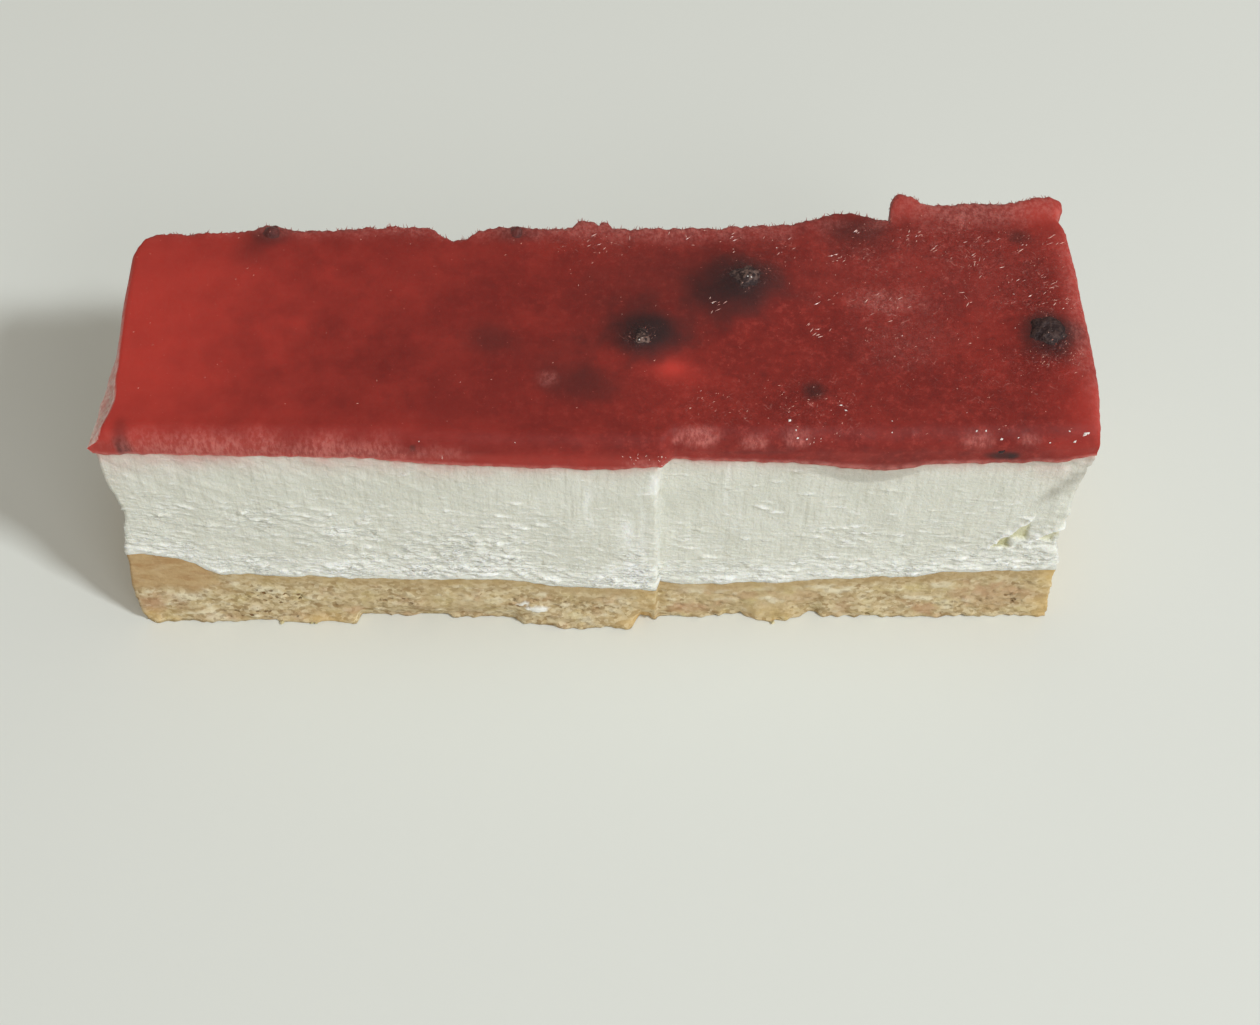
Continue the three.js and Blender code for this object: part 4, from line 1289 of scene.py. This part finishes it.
def frost_places(draw):
    """Where slivers of frost and painted sparkle lie, and how long each is: a fine scatter, then the
    clusters.
    """
    spots = [draw.uniform(-HALF, HALF, FROST_TRIED), draw.uniform(FRONT, FROST_BACK, FROST_TRIED)]
    spots = np.stack(spots + [np.full(FROST_TRIED, JELLY_LEVEL)], 1)
    clump = smooth(lumps(spots, 2.2, 82), 0.0, 0.35)
    chance = 0.6 * round_spots(spots, WRINKLES, 2.0) * clump + 0.008
    places = [spots[draw.random(FROST_TRIED) < chance][:, :2]]
    lengths = [0.12 + 0.25 * draw.random(len(places[0])) ** 2]
    for at, deep, spread, count in SPARKLES:
        places.append(draw.normal((at, FRONT + deep), spread, (count, 2)))
        lengths.append(draw.uniform(0.3, 0.9, count) * (1 if deep > 16 else 0.4))
    return np.concatenate(places), np.concatenate(lengths)


def front_frost(draw, surfaces):
    """Short pale slivers on the front of the jelly, made lighter as painted glints."""
    made = []
    for at, height, spread, count in FRONT_SPARKLES:
        for _ in range(count):
            start = (draw.normal(at, spread), BEFORE, draw.normal(height, 0.6))
            hit, out = first_hit(surfaces, start, (0, 1, 0))
            if hit is not None:
                heading = Vector((draw.normal(0, 0.6), 0, 1))
                made.append(sliver(draw, hit, out, heading, draw.uniform(0.15, 0.5), 0.12))
    return made


def frost_crystals(pieces):
    """Slivers of frost with painted glints on the jelly and its berries, thick where it is wrinkled, specks
    elsewhere.
    """
    draw = np.random.default_rng(FROST_SEED)
    surfaces = [surface_of(piece) for piece in pieces]
    places, lengths = frost_places(draw)
    glints = np.array(GLINTS)
    first_glint = len(places)
    places = np.concatenate([places, glints[:, :2] + (0, FRONT)])
    made = front_frost(draw, surfaces)
    # Painted glints: how much lighter each sliver is painted.
    bright = [0.4] * len(made)
    for number, (place, long) in enumerate(zip(places, np.concatenate([lengths, glints[:, 2]]))):
        hit, out = first_hit(surfaces, (*place, ABOVE), (0, 0, -1))
        if hit is None or out.z < 0.2:
            continue
        heading = level_heading(draw.normal(0.7, 0.4))
        glint = number >= first_glint
        bright.append(1.0 if glint else 0.2 * smooth(long, 0.3, 0.6))
        long, thick = (0.65 * long, 0.45 * long) if glint else (1.2 * long, 0.07 + 0.08 * long)
        made.append(sliver(draw, hit, out, heading, long, thick))
    piece = joined_slivers("frost_crystals", made, crystal_finish())
    note(piece.data, bright=np.repeat(bright, SLIVER_POINTS))


def jelly_fringe(jelly):
    """Fine tufts that stand up along the torn back edge of the jelly."""
    draw = np.random.default_rng(FRINGE_SEED)
    surfaces = [surface_of(jelly)]
    made = []
    for _ in range(TUFTS):
        x = draw.uniform(*FRINGE_SPAN)
        start = (x, BEHIND, jelly_top_at(x) - draw.uniform(0.2, 1.4))
        hit, _ = first_hit(surfaces, start, (0, -1, 0))
        if hit is None:
            continue
        heading = Vector((draw.normal(0, 0.5), draw.uniform(0.3, 1.0), draw.uniform(0.2, 1.0))).normalized()
        across = heading.orthogonal().normalized()
        made.append(sliver(draw, hit, across, heading, draw.uniform(0.5, 1.3), draw.uniform(0.12, 0.2)))
    joined_slivers("jelly_fringe", made, fringe_finish())


def loose_crumbs():
    """Crumbs that lie against the foot of the front cut."""
    draw = np.random.default_rng(CRUMB_SEED)
    made = []
    for x in LOOSE_CRUMBS:
        wide = draw.uniform(0.5, 0.8)
        place = Vector((x, front_at(x) - foot_out(x, 0.0) - 0.3 * wide, 0.4 * wide))
        heading = level_heading(draw.uniform(0, math.pi))
        made.append(sliver(draw, place, Vector((0, 0, 1)), heading, 1.2 * wide, wide))
    joined_slivers("loose_crumbs", made, loose_crumb_finish())


# Setting

def setting():
    bpy.ops.mesh.primitive_plane_add(size=FLOOR_SIZE, location=(0, 0, FLOOR_HEIGHT))
    floor = bpy.context.object
    floor.name = "floor"
    made = Finish("floor", Roughness=0.5, Specular_IOR_Level=0.3)
    made.body = FLOOR_TONE
    floor.data.materials.append(made.done())


def area_light(name, place, size, power, tint):
    data = bpy.data.lights.new(name, "AREA")
    data.size = size
    data.energy = power
    data.color = tint
    lamp = bpy.data.objects.new(name, data)
    bpy.context.scene.collection.objects.link(lamp)
    lamp.location = place
    lamp.rotation_euler = (Vector(LIGHT_AIM) - lamp.location).to_track_quat("-Z", "Y").to_euler()


def lighting():
    for light in LIGHTS:
        area_light(*light)
    world = bpy.data.worlds.new("studio")
    world.use_nodes = True
    background = world.node_tree.nodes["Background"]
    background.inputs["Color"].default_value = SKY_TINT
    background.inputs["Strength"].default_value = SKY_STRENGTH
    bpy.context.scene.world = world


def camera():
    data = bpy.data.cameras.new("camera")
    data.lens, data.sensor_width = LENS, SENSOR
    data.clip_start = CLIP_START
    seen = bpy.data.objects.new("camera", data)
    bpy.context.scene.collection.objects.link(seen)
    turn = Matrix.Rotation(-CAMERA_YAW, 4, "Z") @ Matrix.Rotation(math.pi / 2 - CAMERA_DOWN, 4, "X")
    turn = turn @ Matrix.Rotation(-CAMERA_ROLL, 4, "Z")
    seen.matrix_world = Matrix.Translation(CAMERA_PLACE) @ turn
    bpy.context.scene.camera = seen


camera()
setting()
lighting()
bpy.context.scene.view_settings.view_transform = "Standard"

dark_skin = berry_finish("dark_skin", (38, 20, 22), (58, 38, 38), (136, 108, 98))
veiled_skin = berry_finish("veiled_skin", (82, 35, 33), (110, 48, 44), (126, 78, 72))
red_skin = berry_finish("red_skin", (108, 26, 22), (124, 32, 27), (134, 44, 38))
base_piece()
cream_piece()
jelly = jelly_piece()
berries = [berry_piece(name) for name in BERRIES]
frost_crystals([jelly] + berries)
jelly_fringe(jelly)
loose_crumbs()
